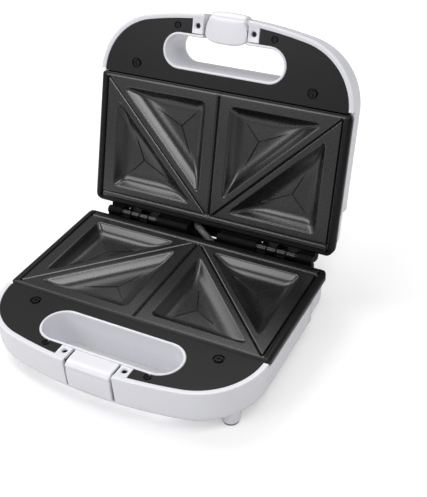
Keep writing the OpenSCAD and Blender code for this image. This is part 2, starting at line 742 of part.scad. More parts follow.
// Hinge pin with a formed head at each end
module hinge_pin() translate([0, hinge_y, 0]) rotate([0, 90, 0]) {
    translate([0, 0, -hinge_len / 2 - 0.2]) cylinder(h = hinge_len + 0.4, r = hinge_pin_r);
    for (s = [-1, 1]) translate([0, 0, s * (hinge_len / 2 + 0.7) - 0.5]) cylinder(h = 1, r = hinge_pin_r + 1);
}
module hinge_pin_left() color(steel) in_base() translate([-hinge_x, 0, 0]) hinge_pin();
module hinge_pin_right() color(steel) in_base() translate([hinge_x, 0, 0]) hinge_pin();

// ---- latch and catch -----------------------------------------------------

// Flap folded over the lid's inner face, as it hangs from its pin
flap_back = ear_d + 0.1 + flap_t;
flap_tip = pin_y + flap_reach;
barrel_r = 4;
lip_y = pin_y - 6.6;
hook_h = 1.8;
module latch_profile() difference() {
    union() {
        translate([pin_y, latch_pin_d]) circle(barrel_r);
        polygon([[lip_y + 1.4, latch_pin_d + 5.4], [lip_y + 0.3, latch_pin_d + 4.4], [lip_y, latch_pin_d - 2],
                 [lip_y - 0.2, latch_pin_d - 4], [lip_y + 0.3, ear_d + 3.6], [lip_y + 1.5, ear_d + 1.7],
                 [lip_y + 3.4, ear_d + 0.5], [lip_y + 6, ear_d + 0.1],
                 [flap_tip - 1.2, ear_d + 0.1], [flap_tip, ear_d + 1.3], [flap_tip, flap_back + hook_h - 0.5],
                 [flap_tip - 0.5, flap_back + hook_h], [flap_tip - 1.4, flap_back + hook_h],
                 [flap_tip - 1.9, flap_back], [pin_y + 1, flap_back], [pin_y + 1, latch_pin_d - 3],
                 [pin_y - 1, latch_pin_d + 3.8], [lip_y + 3, latch_pin_d + 5]]);
    }
    translate([pin_y, latch_pin_d]) circle(latch_pin_r + run);
}

// Plan of the flap: straight at the pin and rounded towards its free end
module latch_plan() {
    x = flap_w / 2;
    polygon(concat([[x - 3, lip_y - 1], [x - 2, pin_y], [x, pin_y + 5], [x, flap_tip - 9]],
                   [for (a = [10 : 20 : 170]) [x * cos(a), flap_tip - 9 + 9 * pow(sin(a), 0.8)]],
                   [[-x, flap_tip - 9], [-x, pin_y + 5], [2 - x, pin_y], [3 - x, lip_y - 1]]));
}

module latch() color(white) in_lid() intersection() {
    across(flap_w / 2) latch_profile();
    slab(-1, latch_pin_d + 10) latch_plan();
}

latch_pin_x = window_x + 6.4;
module latch_pin() color(steel) in_lid() translate([-latch_pin_x, pin_y, latch_pin_d]) rotate([0, 90, 0])
    cylinder(h = 2 * latch_pin_x, r = latch_pin_r);

latch_screw_x = (window_x + field_w / 2) / 2;
latch_screw_y = field_back(0) - 4.6;
// Ears that carry the latch pin, joined behind the latch
module latch_bracket() color(white) in_lid() difference() {
    back = field_back(lid_slot_inset);
    union() {
        both_sides() block([window_x, ear_front, ear_d], [field_w / 2 - 0.3, back - fit, ear_d + latch_pin_d + 5]);
        block([1 - field_w / 2, back - 2.2, 7.5], [field_w / 2 - 1, back - 0.2, 15.5]);
    }
    translate([-field_w, pin_y, latch_pin_d]) rotate([0, 90, 0])
        cylinder(h = 2 * field_w, r = latch_pin_r + 0.02);
    latch_screw_holes();
}

module latch_screw_holes() both_sides() translate([latch_screw_x, latch_screw_y, -1]) {
    cylinder(h = 1 + ear_d + 3, r = small_head_r + 0.25);
    cylinder(h = 30, r = shank_r + run);
}

// Springy tab with a proud bead that the flap snaps over, and its screw ears
module catch() color(white) in_base() difference() {
    back = field_back(0);
    top_r = 3;
    bead_d = ear_d + 0.2 + top_r;
    inner_y = bead_y + 4.5;
    union() {
        across(tab_w / 2) polygon(concat(
            [[back - fit, ear_d + 0.2]],
            [for (a = [90 : 15 : 180]) [bead_y + top_r + top_r * cos(a), bead_d - top_r * sin(a)]],
            [[bead_y, bead_d + 0.5], [bead_y + 1, bead_d + 1.2], [bead_y + 1.3, slit_d - fit],
             [inner_y, slit_d - fit], [inner_y, 10], [back - fit, 10]]));
        both_sides() block([catch_x, ear_front, ear_d], [field_w / 2 - 0.3, back - fit, ear_d + 15]);
        block([1 - field_w / 2, back - 2.2, 8], [field_w / 2 - 1, back - 0.2, 15.6]);
    }
    latch_screw_holes();
}

// ---- screws and pads -----------------------------------------------------

// Cross-recessed pan-head screw, head down at depth 0 and shank into the depth
module screw(head_r, head_h, len) difference() {
    union() {
        cylinder(h = head_h, r1 = head_r * 0.8, r2 = head_r);
        cylinder(h = len, r = shank_r);
    }
    for (a = [0, 90]) rotate([0, 0, a])
        block([-head_r * 0.6, -0.45, -1], [head_r * 0.6, 0.45, head_h * 0.6]);
}

module panel_screws() both_sides() {
    translate([big_screw_x, -big_screw_y, cover_d + 1.3 - 1.7]) screw(big_head_r, 1.7, 12);
    translate([small_screw_x, small_screw_y, cover_d + 1.3 - 1.4]) screw(small_head_r, 1.4, 11);
}
module base_panel_screws() color("#2a2a2c") in_base() panel_screws();
module lid_panel_screws() color("#2a2a2c") in_lid() panel_screws();

module field_screws() both_sides()
    translate([latch_screw_x, latch_screw_y, ear_d + 1.6]) screw(small_head_r, 1.4, 12);
module latch_screws() color("#2a2a2c") in_lid() field_screws();
module catch_screws() color("#2a2a2c") in_base() field_screws();

module underside_screws() color(steel) in_base() both_sides() for (y = [well_front, well_back])
    translate([well_x, y, base_depth]) mirror([0, 0, 1]) screw(big_head_r, 1.4, 5);

module foot_pads() color("#8c8c92") in_base() both_sides() for (y = [-foot_front, body_back - foot_rear])
    translate([foot_x, y, base_depth + foot_h - pad_t]) cylinder(h = pad_t, r = foot_r - 0.8);

base_housing();
base_cover();
base_plate();
base_heater();
base_shield();
base_hinge_rail();
catch();
base_panel_screws();
catch_screws();
foot_pads();
underside_screws();
cord_inlet();
terminal_block();
thermostat();
thermal_fuse();
base_hinge_left();
base_hinge_right();
hinge_pin_left();
hinge_pin_right();
lead_sleeve();
lid_housing();
lid_cover();
lid_plate();
lid_heater();
lid_shield();
lid_hinge_rail();
lid_panel_screws();
latch_bracket();
latch_screws();
latch_pin();
latch();
lid_hinge_left();
lid_hinge_right();
power_lens();
ready_lens();
lamp_holder();
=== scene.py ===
"""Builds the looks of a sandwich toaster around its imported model.

Shapes are worked out in the toaster's half frame, in millimetres: x across,
y from the handle (negative) back to the hinge, d the depth away from the
plane where both halves meet. place() carries them into the shared frame."""

import json
import math

import bpy
import bmesh
import numpy as np
from mathutils import Matrix
from bpy.props import FloatProperty, FloatVectorProperty, PointerProperty


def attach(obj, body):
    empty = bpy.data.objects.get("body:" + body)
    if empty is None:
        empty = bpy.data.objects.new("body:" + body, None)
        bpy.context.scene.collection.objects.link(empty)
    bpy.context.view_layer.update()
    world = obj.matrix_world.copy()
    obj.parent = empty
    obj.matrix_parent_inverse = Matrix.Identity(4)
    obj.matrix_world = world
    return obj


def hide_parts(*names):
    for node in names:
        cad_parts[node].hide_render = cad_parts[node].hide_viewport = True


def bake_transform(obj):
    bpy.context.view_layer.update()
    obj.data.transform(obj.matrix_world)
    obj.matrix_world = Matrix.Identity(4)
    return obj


bl_info = {
    "name": "Sandwich toaster",
    "version": (1, 0, 0),
    "blender": (4, 5, 0),
    "location": "View3D > Sidebar > Toaster",
    "description": "Builds a sandwich toaster with coated plates, a hinged lid and a swing latch",
    "category": "Add Mesh",
}

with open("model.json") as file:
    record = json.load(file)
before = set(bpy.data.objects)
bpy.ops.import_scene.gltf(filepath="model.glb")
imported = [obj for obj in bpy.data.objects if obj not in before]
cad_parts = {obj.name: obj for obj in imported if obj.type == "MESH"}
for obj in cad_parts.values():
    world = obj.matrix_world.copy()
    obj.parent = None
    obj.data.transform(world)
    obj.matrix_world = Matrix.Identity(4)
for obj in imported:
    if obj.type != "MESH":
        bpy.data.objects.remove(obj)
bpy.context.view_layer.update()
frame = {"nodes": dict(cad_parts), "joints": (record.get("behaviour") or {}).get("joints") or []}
NODES = frame["nodes"]

# ---- sizes shared with the solids, in millimetres ----

HINGE = next(j for j in frame["joints"] if j["name"] == "lid_hinge")
HINGE_Y = 117.9
CENTRE_Y = HINGE_Y - HINGE["pos_m"][1] * 1000
PARTING_Z = HINGE["pos_m"][2] * 1000
LID_OPEN = math.radians(HINGE["range_deg"][1])

# The housings' outline, walls and rims
BODY_X = 112.5
BODY_BACK = 113.2
REAR_STEP = 2.5
STEP_Y = 76.65
REACH = 63.0
CHEEK_R = 54.0
CHEEK_X = BODY_X - CHEEK_R
CHEEK_Y = 3.0
REAR_R = 12.0
# The front arc meets both cheek arcs: its radius and half angle follow from them
NOSE_R = (CHEEK_X ** 2 + (REACH - CHEEK_Y) ** 2 - CHEEK_R ** 2) / (2 * (REACH - CHEEK_Y - CHEEK_R))
NOSE_A = math.asin(CHEEK_X / (NOSE_R - CHEEK_R))
WALL = 2.6
DRAFT = 1.2
LIP_D = 0.4
RIM_W = 3.9
RIM_BACK = 5.5
WALL_TOP = 5.5
# The hand slots and their lining
SLOT_Y = 30.4
SLOT_R = 15.1
SLOT_X = 41.9
LINING = 2.2
# The cooking area and its plates
LAND_X = 105.0
LAND_D = 105.0
PLATE_X = 112.0
PLATE_BACK = 112.0
PLATE_FRONT = 3.6
PLATE_EDGE = 5.2
PLATE_T = 2.6
FACE_D = 0.3
# The latch, the snap tab and the openings round them
PIN_Y = -57.6
PIN_D = 10.0
FLAP_TIP = -40.5
FLAP_X = 18.5
FLAP_UNDER = 3.85
WINDOW_X = 19.3
TAB_X = 18.3
SLIT_W = 2.0
SLIT_D = 24.0
# The screws beside the catch and the latch, and the blocks that carry them
CATCH_SCREW_X = 25.05
CATCH_BACK = -47.95
LATCH_SCREW_X = 24.55
LATCH_BACK = -45.65
EAR_D = 15.0
SCREW_Y = -52.3
# The feet, whose shells end a little above their pads, the hinges, cord inlet and sleeve
FOOT_X = 93.0
FOOT_YS = (-27.0, BODY_BACK - 12.2)
FOOT_H = 9.6
FOOT_CLEAR = 1.8
HINGE_X = 64.5
LEAF_X = 17.0
INLET = (-HINGE_X / 1.3, BODY_BACK - 1.9, 19)
SLEEVE_R = 3.0


def place(points, half):
    """Half-frame millimetres to metres in the shared frame: the base's depth
    runs downwards; the lid's runs upwards and is then turned back about the hinge."""
    x, y, d = points[..., 0], points[..., 1], points[..., 2]
    if half == "base":
        out = (x, y - CENTRE_Y, PARTING_Z - d)
    else:
        c, s = math.cos(LID_OPEN), math.sin(LID_OPEN)
        back = y - HINGE_Y
        out = (x, back * c + d * s + HINGE_Y - CENTRE_Y, d * c - back * s + PARTING_Z)
    return np.stack(out, -1) / 1000


# ---- mesh tools ----

def grid_faces(nu, nv, wrap_u=False, wrap_v=False):
    """Four-sided faces of a grid of nu rows and nv columns, joined up where it wraps."""
    a = np.arange(nu if wrap_u else nu - 1)[:, None]
    b = np.arange(nv if wrap_v else nv - 1)[None, :]
    a2, b2 = (a + 1) % nu, (b + 1) % nv
    return np.stack([a * nv + b, a2 * nv + b, a2 * nv + b2, a * nv + b2], -1).reshape(-1, 4)


def in_scene(name, data):
    """A new object in the scene for a mesh, a light or a camera."""
    obj = bpy.data.objects.new(name, data)
    bpy.context.scene.collection.objects.link(obj)
    return obj


class Shape:
    """Closed surfaces gathered into one piece."""

    def __init__(self):
        self.points, self.faces, self.count = [], [], 0

    def grid(self, p, wrap_u=False, wrap_v=False, caps=False):
        """Adds a closed grid of points p[u, v], turned right side out by the sign of its
        volume; caps close its first and last rows with one face each."""
        nu, nv = p.shape[:2]
        points, quads = p.reshape(-1, 3), grid_faces(nu, nv, wrap_u, wrap_v)
        ends = [np.arange(nv), (nu - 1) * nv + np.arange(nv)[::-1]] if caps else []
        q = points[quads]
        volume = np.einsum("ij,ij->", q[:, 0], np.cross(q[:, 1], q[:, 2]))
        volume += np.einsum("ij,ij->", q[:, 0], np.cross(q[:, 2], q[:, 3]))
        for e in ends:
            volume += np.einsum("j,ij->", points[e[0]], np.cross(points[e[1:-1]], points[e[2:]]))
        flip = -1 if volume < 0 else 1
        self.faces += (quads[:, ::flip] + self.count).tolist()
        self.faces += [(e[::flip] + self.count).tolist() for e in ends]
        self.points.append(points)
        self.count += len(points)

    def solid(self, rings):
        """Adds a body of rings of points whose first and last ring are closed flat."""
        self.grid(rings, wrap_v=True, caps=True)

    def box(self, low, high):
        """Adds a closed box between two corners."""
        (x0, y0, d0), (x1, y1, d1) = low, high
        ring = np.array([[x0, y0], [x1, y0], [x1, y1], [x0, y1]], float)
        self.solid(np.stack([raise_to(ring, d0), raise_to(ring, d1)]))

    def make(self, name, half, slot, key, nodes=(), body=None, sharp=35.0, weld=False):
        """Puts the surfaces into a mesh object of one finish, which rides on its half's body
        or on another."""
        points = place(np.concatenate(self.points), half)
        faces = self.faces if half == "lid" else [f[::-1] for f in self.faces]
        mesh = bpy.data.meshes.new(name)
        mesh.from_pydata(points.tolist(), [], faces)
        if weld:
            rework(mesh, lambda work: bmesh.ops.remove_doubles(work, verts=work.verts, dist=2e-6))
        mesh.validate()
        shade_up_to(mesh, sharp)
        obj = in_scene(name, mesh)
        mesh.materials.append(finish(key))
        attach(obj, body or half)
        if nodes:
            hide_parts(*nodes)
        return obj


def rework(mesh, change):
    """Puts a mesh through one change in mesh-edit form."""
    work = bmesh.new()
    work.from_mesh(mesh)
    change(work)
    work.to_mesh(mesh)
    work.free()


def shade_up_to(mesh, angle):
    """Shades a mesh smooth, apart from edges sharper than an angle in degrees."""
    mesh.shade_smooth()
    mesh.set_sharp_from_angle(angle=math.radians(angle))


def unit(v):
    """Vectors scaled to a length of 1."""
    return v / np.linalg.norm(v, axis=-1, keepdims=True)


def run_along(line):
    """Distance of each point along a line from its start."""
    return np.concatenate([[0], np.cumsum(np.linalg.norm(np.diff(line, axis=0), axis=1))])


def arc(cx, cy, r, degrees):
    """Points on a circle at the given angles."""
    a = np.radians(degrees)
    return np.stack([cx + r * np.cos(a), cy + r * np.sin(a)], -1)


def raise_to(p, d):
    """Gives flat points p a depth, one for all or one each."""
    return np.concatenate([p, np.broadcast_to(np.asarray(d, float), p.shape[:1])[:, None]], 1)


def smooth(t):
    """Goes from 0 to 1 with level ends: 3 t * t - 2 t * t * t, with t held to 0..1."""
    t = np.clip(t, 0, 1)
    return t * t * (3 - 2 * t)


def soft_min(a, b, k):
    """The smaller of two heights, with a fillet where they come within k of each other."""
    h = np.clip(0.5 + 0.5 * (b - a) / k, 0, 1)
    return b * (1 - h) + a * h - k * h * (1 - h)


def revolved(profile, count, centre, axis="d"):
    """Profile rows (radius, height) turned a full circle about an axis through
    centre: point = centre + radius * (cos, sin) across the axis + height along it."""
    a = np.linspace(0, 2 * np.pi, count, endpoint=False)
    r, h = np.asarray(profile, float).T
    u, v = r[:, None] * np.cos(a), r[:, None] * np.sin(a)
    w = np.broadcast_to(h[:, None], u.shape)
    order = {"d": (u, v, w), "x": (w, u, v), "y": (v, w, u)}[axis]
    return np.stack(order, -1) + np.asarray(centre, float)


def carve(obj, shape, half):
    """Takes a shape's islands out of a white piece for good."""
    cutter = shape.make("cutter", half, "white_shell", "shell")
    tool = obj.modifiers.new("carve", "BOOLEAN")
    tool.operation, tool.solver, tool.object = "DIFFERENCE", "EXACT", cutter
    bpy.context.view_layer.update()
    mesh = bpy.data.meshes.new_from_object(obj.evaluated_get(bpy.context.evaluated_depsgraph_get()))
    obj.modifiers.clear()
    old, obj.data = obj.data, mesh
    bpy.data.meshes.remove(old)
    bpy.data.meshes.remove(cutter.data)
    if not len(mesh.vertices):
        raise RuntimeError(f"{obj.name} was lost while it was carved")
    shade_up_to(mesh, 32)


# ---- housings ----

# Depth of each housing, its rounded lower edge, its crown, and the hand slot's inset and round
HALVES = {
    "base": {"depth": 31.7, "edge": 10.0, "crown": 0.0, "inset": 0.0, "slot_soft": 1.5},
    "lid": {"depth": 36.0, "edge": 18.0, "crown": 1.0, "inset": 2.3, "slot_soft": 0.5},
}
# Points along each stretch of the outline's right half
NOSE_N, CHEEK_N, SIDE_N, CORNER_N, REAR_N = 24, 28, 11, 12, 8
CROWN_END = 45
QUARTER = np.radians([22.5, 45, 67.5, 90])


def mirrored(*stretches):
    """Closed outline from the stretches of its right half."""
    right = np.concatenate(stretches)
    return np.concatenate([right, right[-2:0:-1] * [-1, 1]])


def outline(g):
    """Closed outline of a housing, g inside its widest line: a shallow front arc, an arc
    round each cheek, sides that step in before the rear, and rear corners whose radius
    shrinks by g. The right half is worked out and mirrored."""
    r = max(REAR_R - g, 0.8)
    x, back = BODY_X - REAR_STEP - g, BODY_BACK - g
    soft = 0.3
    nose = arc(0, NOSE_R - REACH, NOSE_R - g, np.linspace(270, 270 + math.degrees(NOSE_A), NOSE_N))
    cheek = arc(CHEEK_X, -CHEEK_Y, CHEEK_R - g,
                np.linspace(270 + math.degrees(NOSE_A), 360, CHEEK_N)[1:])
    wide = x + REAR_STEP
    side = np.array([[wide, 10], [wide, 30], [wide, 50], [wide, 68], [wide, STEP_Y - soft],
                     [wide - 0.1, STEP_Y - 0.1], [wide - soft, STEP_Y], [x + soft, STEP_Y],
                     [x + 0.1, STEP_Y + 0.1], [x, STEP_Y + soft], [x, 88]])
    corner = arc(x - r, back - r, r, np.linspace(0, 90, CORNER_N))
    rear = np.stack([np.linspace(x - r, 0, REAR_N), np.full(REAR_N, back)], -1)[1:]
    return mirrored(nose, cheek, side, corner, rear)


def slot_ring(inset, g):
    """Outline of the hand slot, grown by g, with as many points as outline(): its front line
    goes with the front arc, its end with cheek and side, its back line with the rear."""
    x, r = SLOT_X - inset, SLOT_R - inset + g
    front = np.stack([np.linspace(0, x, NOSE_N), np.full(NOSE_N, -SLOT_Y - r)], -1)
    turn = arc(x, -SLOT_Y, r, np.linspace(-90, 90, CHEEK_N + SIDE_N)[1:])
    count = CORNER_N + REAR_N - 1
    back = np.stack([np.linspace(x, 0, count + 1)[1:], np.full(count, -SLOT_Y + r)], -1)
    return mirrored(front, turn, back)


def housing_surface(depth, edge, crown, inset, slot_soft, lip):
    """A ring-shaped closed surface: round the outline one way, and the other way up over
    the lip, down the drafted wall, round the edge, over the crowned floor to the hand
    slot, up its lining and back through the hollow inside."""
    outer_g = DRAFT + edge

    def rise(p, amount):
        """Crown: grows smoothly from the end of the rounded edge to CROWN_END inside."""
        gap = np.minimum(np.minimum(BODY_X - np.abs(p[:, 0]), p[:, 1] + REACH), BODY_BACK - p[:, 1])
        return amount + crown * smooth((gap - outer_g) / (CROWN_END - outer_g))

    top = LIP_D
    rows = [raise_to(outline(g), d) for g, d in
            [(RIM_W, 6.5), (RIM_W, top + 0.3), (RIM_W - 0.1, top + 0.1), (RIM_W - 0.3, top), (lip, top)]]
    rows += [raise_to(outline(lip * (1 - math.sin(a))), top + lip * (1 - math.cos(a)))
             for a in QUARTER]
    straight = depth - edge
    rows += [raise_to(outline(DRAFT * s), top + lip + (straight - top - lip) * s)
             for s in np.linspace(0, 1, 9)[1:]]
    rows += [raise_to(outline(DRAFT + edge * (1 - math.cos(a))), straight + edge * math.sin(a))
             for a in np.radians(np.linspace(0, 90, 15)[1:-1])]
    rim, hole = outline(outer_g), slot_ring(inset, slot_soft)
    for s in np.linspace(0, 1, 18):
        p = rim + (hole - rim) * s
        rows.append(raise_to(p, rise(p, depth)))
    for a in QUARTER:
        p = slot_ring(inset, slot_soft * (1 - math.sin(a)))
        rows.append(raise_to(p, rise(p, depth - slot_soft * (1 - math.cos(a)))))
    rows += [raise_to(slot_ring(inset, 0), d) for d in np.linspace(depth - 4, 3, 6)]
    rows += [raise_to(slot_ring(inset, g), d) for g, d in
             [(LINING / 2 * (1 - math.cos(a)), LIP_D + LINING / 2 * (1 - math.sin(a)))
              for a in np.radians(np.linspace(0, 180, 11))] + [(LINING, 8), (LINING, depth - WALL)]]
    hole = slot_ring(inset, LINING)
    for s in np.linspace(0.15, 1, 6):
        p = hole + (rim - hole) * s
        rows.append(raise_to(p, rise(p, depth - WALL)))
    rows += [raise_to(outline(WALL + DRAFT + (edge - WALL) * (1 - math.cos(a))),
                      straight + (edge - WALL) * math.sin(a)) for a in np.radians([70, 45, 20, 0])]
    rows.append(raise_to(outline(WALL + DRAFT * 0.3), 7.0))
    return np.stack(rows)


def foot_profile():
    """Half section of a foot: from inside the floor, down a cone, to a rounded edge."""
    r0, r1, inside, soft = 9.2, 6.8, 24.5, 0.8
    end = HALVES["base"]["depth"] + FOOT_H - FOOT_CLEAR
    edge = arc(r1 - soft, end - soft, soft, np.linspace(5, 90, 6))
    return np.concatenate([[[0.001, inside], [r0, inside], [r1 + 0.05, end - 1.2]], edge, [[0.001, end]]])


def base_openings(cut):
    """Vents, screw wells and the cord inlet's stepped bore, cut into the base."""
    pitch, w = 9, 1.2
    for i in range(-4, 5):
        cut.box((i * pitch - w, 36, 27), (i * pitch + w, 70, 34))
    for x in (-72, 72):
        for y in (12, 98):
            cut.solid(revolved([(4, 30.3), (4, 33)], 32, (x, y, 0)))
    cut.solid(revolved([(5.05, -8), (5.05, 0), (6.55, 0), (6.55, 6)], 40, INLET, "y"))


# ---- cooking plates ----

POCKET_D = 8.5
LEANS = (6.0, 6.0, 8.5)
GRID = 0.75
RIB_STEPS = 14
# Where the three ribs of each pocket floor meet, the corners that they point at, and the
# share of the way that they go
RIB_FRONT = ((35.5, 33.0), ((11.0, 7.0), (88.0, 9.0), (13.0, 84.0)), (0.62, 0.46, 0.44))
RIB_BACK = ((69.0, 70.0), ((94.0, 96.0), (19.0, 94.0), (92.0, 22.0)), (0.50, 0.50, 0.42))


def pocket(sides, apex):
    """Depth of one triangular pocket: each side is a distance inside the edge, and its wall
    falls by that over its lean; soft minima round the walls into each other, a parabola
    dishes them towards the bottom, and another soft minimum rounds them into a floor that
    rises a little towards the apex in three flat facets."""
    walls = [s / lean for s, lean in zip(sides, LEANS)]
    peak = np.minimum.reduce([s / a for s, a in zip(sides, apex)])
    floor = 1 - 0.08 * np.clip(peak, 0, 1)
    fall = soft_min(soft_min(walls[0], walls[1], 0.7), walls[2], 0.6)
    fall = 1.2 * (1 - np.clip(1 - fall / 2.1, 0, 1) ** 2)
    return POCKET_D * np.maximum(soft_min(fall, floor, 0.5), 0)


def plate_depth(x, y):
    """Depth of a plate's upper face: flat land, two pockets a side, a pressed line with
    beads along each slant, a groove down the middle, gutters and a falling edge."""
    a = np.abs(x)
    slant = (LAND_X - a - y) / math.sqrt(2)

    def sides(x, y):
        """Distances inside the three sides of the front pocket, and of the back one."""
        s = (LAND_X - x - y) / math.sqrt(2)
        return (x - 11, y - 7, s - 5.6), (94 - x, 96 - y, -s - 5.6)

    near, far = sides(a, y)
    near_at, far_at = sides(*RIB_FRONT[0])[0], sides(*RIB_BACK[0])[1]
    d = FACE_D + pocket(near, near_at) + pocket(far, far_at)
    gutter_at = 104.6
    on_land = (y > 0.2) & (y < 102.4)
    line = np.interp(np.abs(slant), [0, 0.53, 1.06, 1.6, 2.12], [2.0, 1.3, -0.1, -0.3, 0])
    d = d + np.where(on_land & (a < gutter_at), line, 0)
    d = d + np.where(on_land, np.interp(a, [0, 0.75, 1.5], [2.2, 1.4, 0]), 0)
    gutter = np.interp(a, [gutter_at, 105.0, 106.0, 106.5], [0, 2.4, 2.4, 0])
    d = d + np.where((y > 1.2) & (y < 108.6), gutter, 0)
    bead = np.interp(y, [101.9, 102.75, 103.5, 104.25, 105.0], [0, 1.1, 0, -0.3, 0])
    d = d + np.where(a < 106, bead, 0)
    d = d + np.interp(y, [106.6, 107.2], [0, 0.5]) * (a < 108.7)
    edge_w, edge_fall = 3.3, 2.2
    reach = np.maximum.reduce([a - (PLATE_X - edge_w), y - (PLATE_BACK - edge_w), -PLATE_FRONT + edge_w - y])
    fall = np.clip(reach / edge_w, 0, 1)
    return np.maximum(d, FACE_D + edge_fall * (1 - np.sqrt(np.maximum(1 - fall ** 1.7, 0))))


def plate_grid():
    """Grid lines at even steps, so that the slants run through its corners, with closer
    lines over the edges; each corner of the rectangle is pressed into a quarter disc by
    u' = u * sqrt(1 - v * v / 2), and the same with u and v exchanged."""
    over = [105.4, 105.9, 106.4, 107.2, 108.2, 108.8, 109.4, 110.0, 110.6, 111.2, 111.7, PLATE_X]
    right = np.concatenate([np.arange(0, LAND_X + 0.1, GRID), over])
    xs = np.concatenate([-right[:0:-1], right])
    ys = np.concatenate([[-3.6, -3.3, -2.8, -2.2, -1.5, -0.8], np.arange(0, LAND_D + 0.1, GRID),
                         [105.5, 106.0, 106.6, 107.2, 108.0, 108.7, 109.4, 110.1, 110.8, 111.4, PLATE_BACK]])
    x, y = np.meshgrid(xs, ys, indexing="ij")
    for r, edge, way in ((9.0, PLATE_BACK, 1), (5.0, -PLATE_FRONT, -1)):
        u = np.clip((np.abs(x) - (PLATE_X - r)) / r, 0, 1)
        v = np.clip((way * y - (way * edge - r)) / r, 0, 1)
        both = (u > 0) & (v > 0)
        x = np.where(both, np.sign(x) * (PLATE_X - r + r * u * np.sqrt(1 - v * v / 2)), x)
        y = np.where(both, way * (way * edge - r + r * v * np.sqrt(1 - u * u / 2)), y)
    return x, y


def plate_mesh():
    """Upper face, edge and underside of a plate. The quads of the upper face are split
    along the slants, which mirror at the middle."""
    x, y = plate_grid()
    nu, nv = x.shape
    d = plate_depth(x, y)
    top = np.stack([x, y, d], -1)
    k = 1 - 0.6 / PLATE_X
    under = np.stack([x * k, (y - 54) * k + 54, np.maximum(d + PLATE_T, PLATE_EDGE - 0.1)], -1)
    edge = np.concatenate([np.arange(nu) * nv, (nu - 1) * nv + np.arange(1, nv),
                           np.arange(nu - 2, -1, -1) * nv + nv - 1, np.arange(nv - 2, 0, -1)])
    rim = top.reshape(-1, 3)[edge]
    rim[:, 2] = PLATE_EDGE - 0.4
    q = grid_faces(nu, nv)
    left = np.repeat(np.arange(nu - 1) < nu // 2, nv - 1)
    one = np.where(left[:, None], q[:, [0, 1, 2]], q[:, [0, 1, 3]])
    two = np.where(left[:, None], q[:, [0, 2, 3]], q[:, [1, 2, 3]])
    n = nu * nv
    low = 2 * n + np.arange(len(edge))
    nxt = np.roll(np.arange(len(edge)), -1)
    wall = np.stack([edge, edge[nxt], low[nxt], low], -1)
    foot = np.stack([low, low[nxt], n + edge[nxt], n + edge], -1)
    points = np.concatenate([top.reshape(-1, 3), under.reshape(-1, 3), rim])
    faces = [one[:, ::-1], two[:, ::-1], q + n, wall, foot]
    return points, faces


def rim_shade_faces(middle):
    """Which faces, by their middles, lie on the rounded edge or low down beside it; these get the darker
    coating tone that paints shade on the rim.
    """
    x, y, d = np.abs(middle[:, 0]), middle[:, 1], middle[:, 2]
    beyond = (x > 106.3) | (y > 107.3) | (y < -1.2)
    return beyond | (d > 4.9) & ((x > 104) | (y > 100) | (y < 2))


def floor_rib(start, end, mirror, height):
    """Low rounded rib on a pocket floor: a bump 1.0 wide and of the given height carried
    along a line, which sinks into the floor at its outer end."""
    s = np.linspace(0, 1, RIB_STEPS)
    way = np.asarray(end) - start
    p = np.asarray(start) + way * s[:, None]
    out = unit(way)[::-1] * [-1, 1]
    w = np.array([-0.5, -0.33, 0, 0.33, 0.5, 0])
    h = np.array([0.25, -0.56 * height, -height, -0.56 * height, 0.25, 0.6])
    flat = p[:, None] + w[None, :, None] * out
    taper = np.clip((1 - s) * 4, 0.25, 1)[:, None]
    depth = plate_depth(p[:, 0], p[:, 1])[:, None] + np.where(h < 0, h * taper, h)
    flat[..., 0] *= mirror
    return np.concatenate([flat, depth[..., None]], -1)


# ---- latch and catch ----

def inward(loop, amount):
    """A closed flat loop moved inwards along its point normals by an amount."""
    along = unit(np.roll(loop, -1, 0) - np.roll(loop, 1, 0))
    area = np.sum(loop[:, 0] * np.roll(loop[:, 1], -1) - loop[:, 1] * np.roll(loop[:, 0], -1))
    return loop + np.stack([-along[:, 1], along[:, 0]], -1) * (amount * np.sign(area))


def slab_levels(soft, count):
    """Steps across a slab from -1 to 1 with, at both ends, a quarter round of a soft edge:
    (share of the half width, how far in, how far short of the half width)."""
    ends = [(soft * (1 - math.sin(a)), soft * (1 - math.cos(a))) for a in np.radians(np.linspace(0, 90, 5))]
    return ([(-1, *end) for end in ends]
            + [(share, 0, soft * abs(share)) for share in np.linspace(-1, 1, count)[1:-1]]
            + [(1, *end) for end in ends[::-1]])


def carried_across(loop, half_width, soft, count):
    """A section (y, d) carried across from one side to the other. half_width gives the
    half width at each y; the end rounds shrink the section and step in from the side."""
    rows = []
    for share, amount, short in slab_levels(soft, count):
        y, d = inward(loop, amount).T
        rows.append(np.stack([share * (half_width(y) - short), y, d], -1))
    return np.stack(rows)


def resampled(loop, step):
    """A closed loop with points at even steps along it, its corners kept soft."""
    closed = np.concatenate([loop, loop[:1]])
    length = run_along(closed)
    at = np.linspace(0, length[-1], max(int(length[-1] / step), 8), endpoint=False)
    return np.stack([np.interp(at, length, closed[:, i]) for i in (0, 1)], -1)


def latch_section():
    """Section of the latch: face, rounded tip with its hook, back, and behind the pin a lip
    that bulges in an arc of 7.9 about the pin."""
    lip = arc(PIN_Y, PIN_D, 7.9, np.linspace(128, 234, 15))
    tip = arc(FLAP_TIP - 1.5, 2.2, 1.5, np.linspace(-90, 0, 5))
    hook = [(FLAP_TIP, 4.4), (FLAP_TIP - 0.25, 4.75), (FLAP_TIP - 0.8, 4.92), (FLAP_TIP - 1.5, 4.85),
            (FLAP_TIP - 1.9, 4.4), (FLAP_TIP - 2.2, FLAP_UNDER)]
    back = [(PIN_Y + 4.2, FLAP_UNDER), (PIN_Y + 3.6, 6.0), (PIN_Y + 4.0, 10), (PIN_Y + 2.6, 13.0),
            (PIN_Y - 0.6, 14.2)]
    face = [(-61.5, 3.9), (-61.1, 3.3), (-61.0, 2.3), (-60.6, 1.4), (-59.8, 0.9), (-58.6, 0.72)]
    return np.concatenate([lip, face, tip, hook, back])


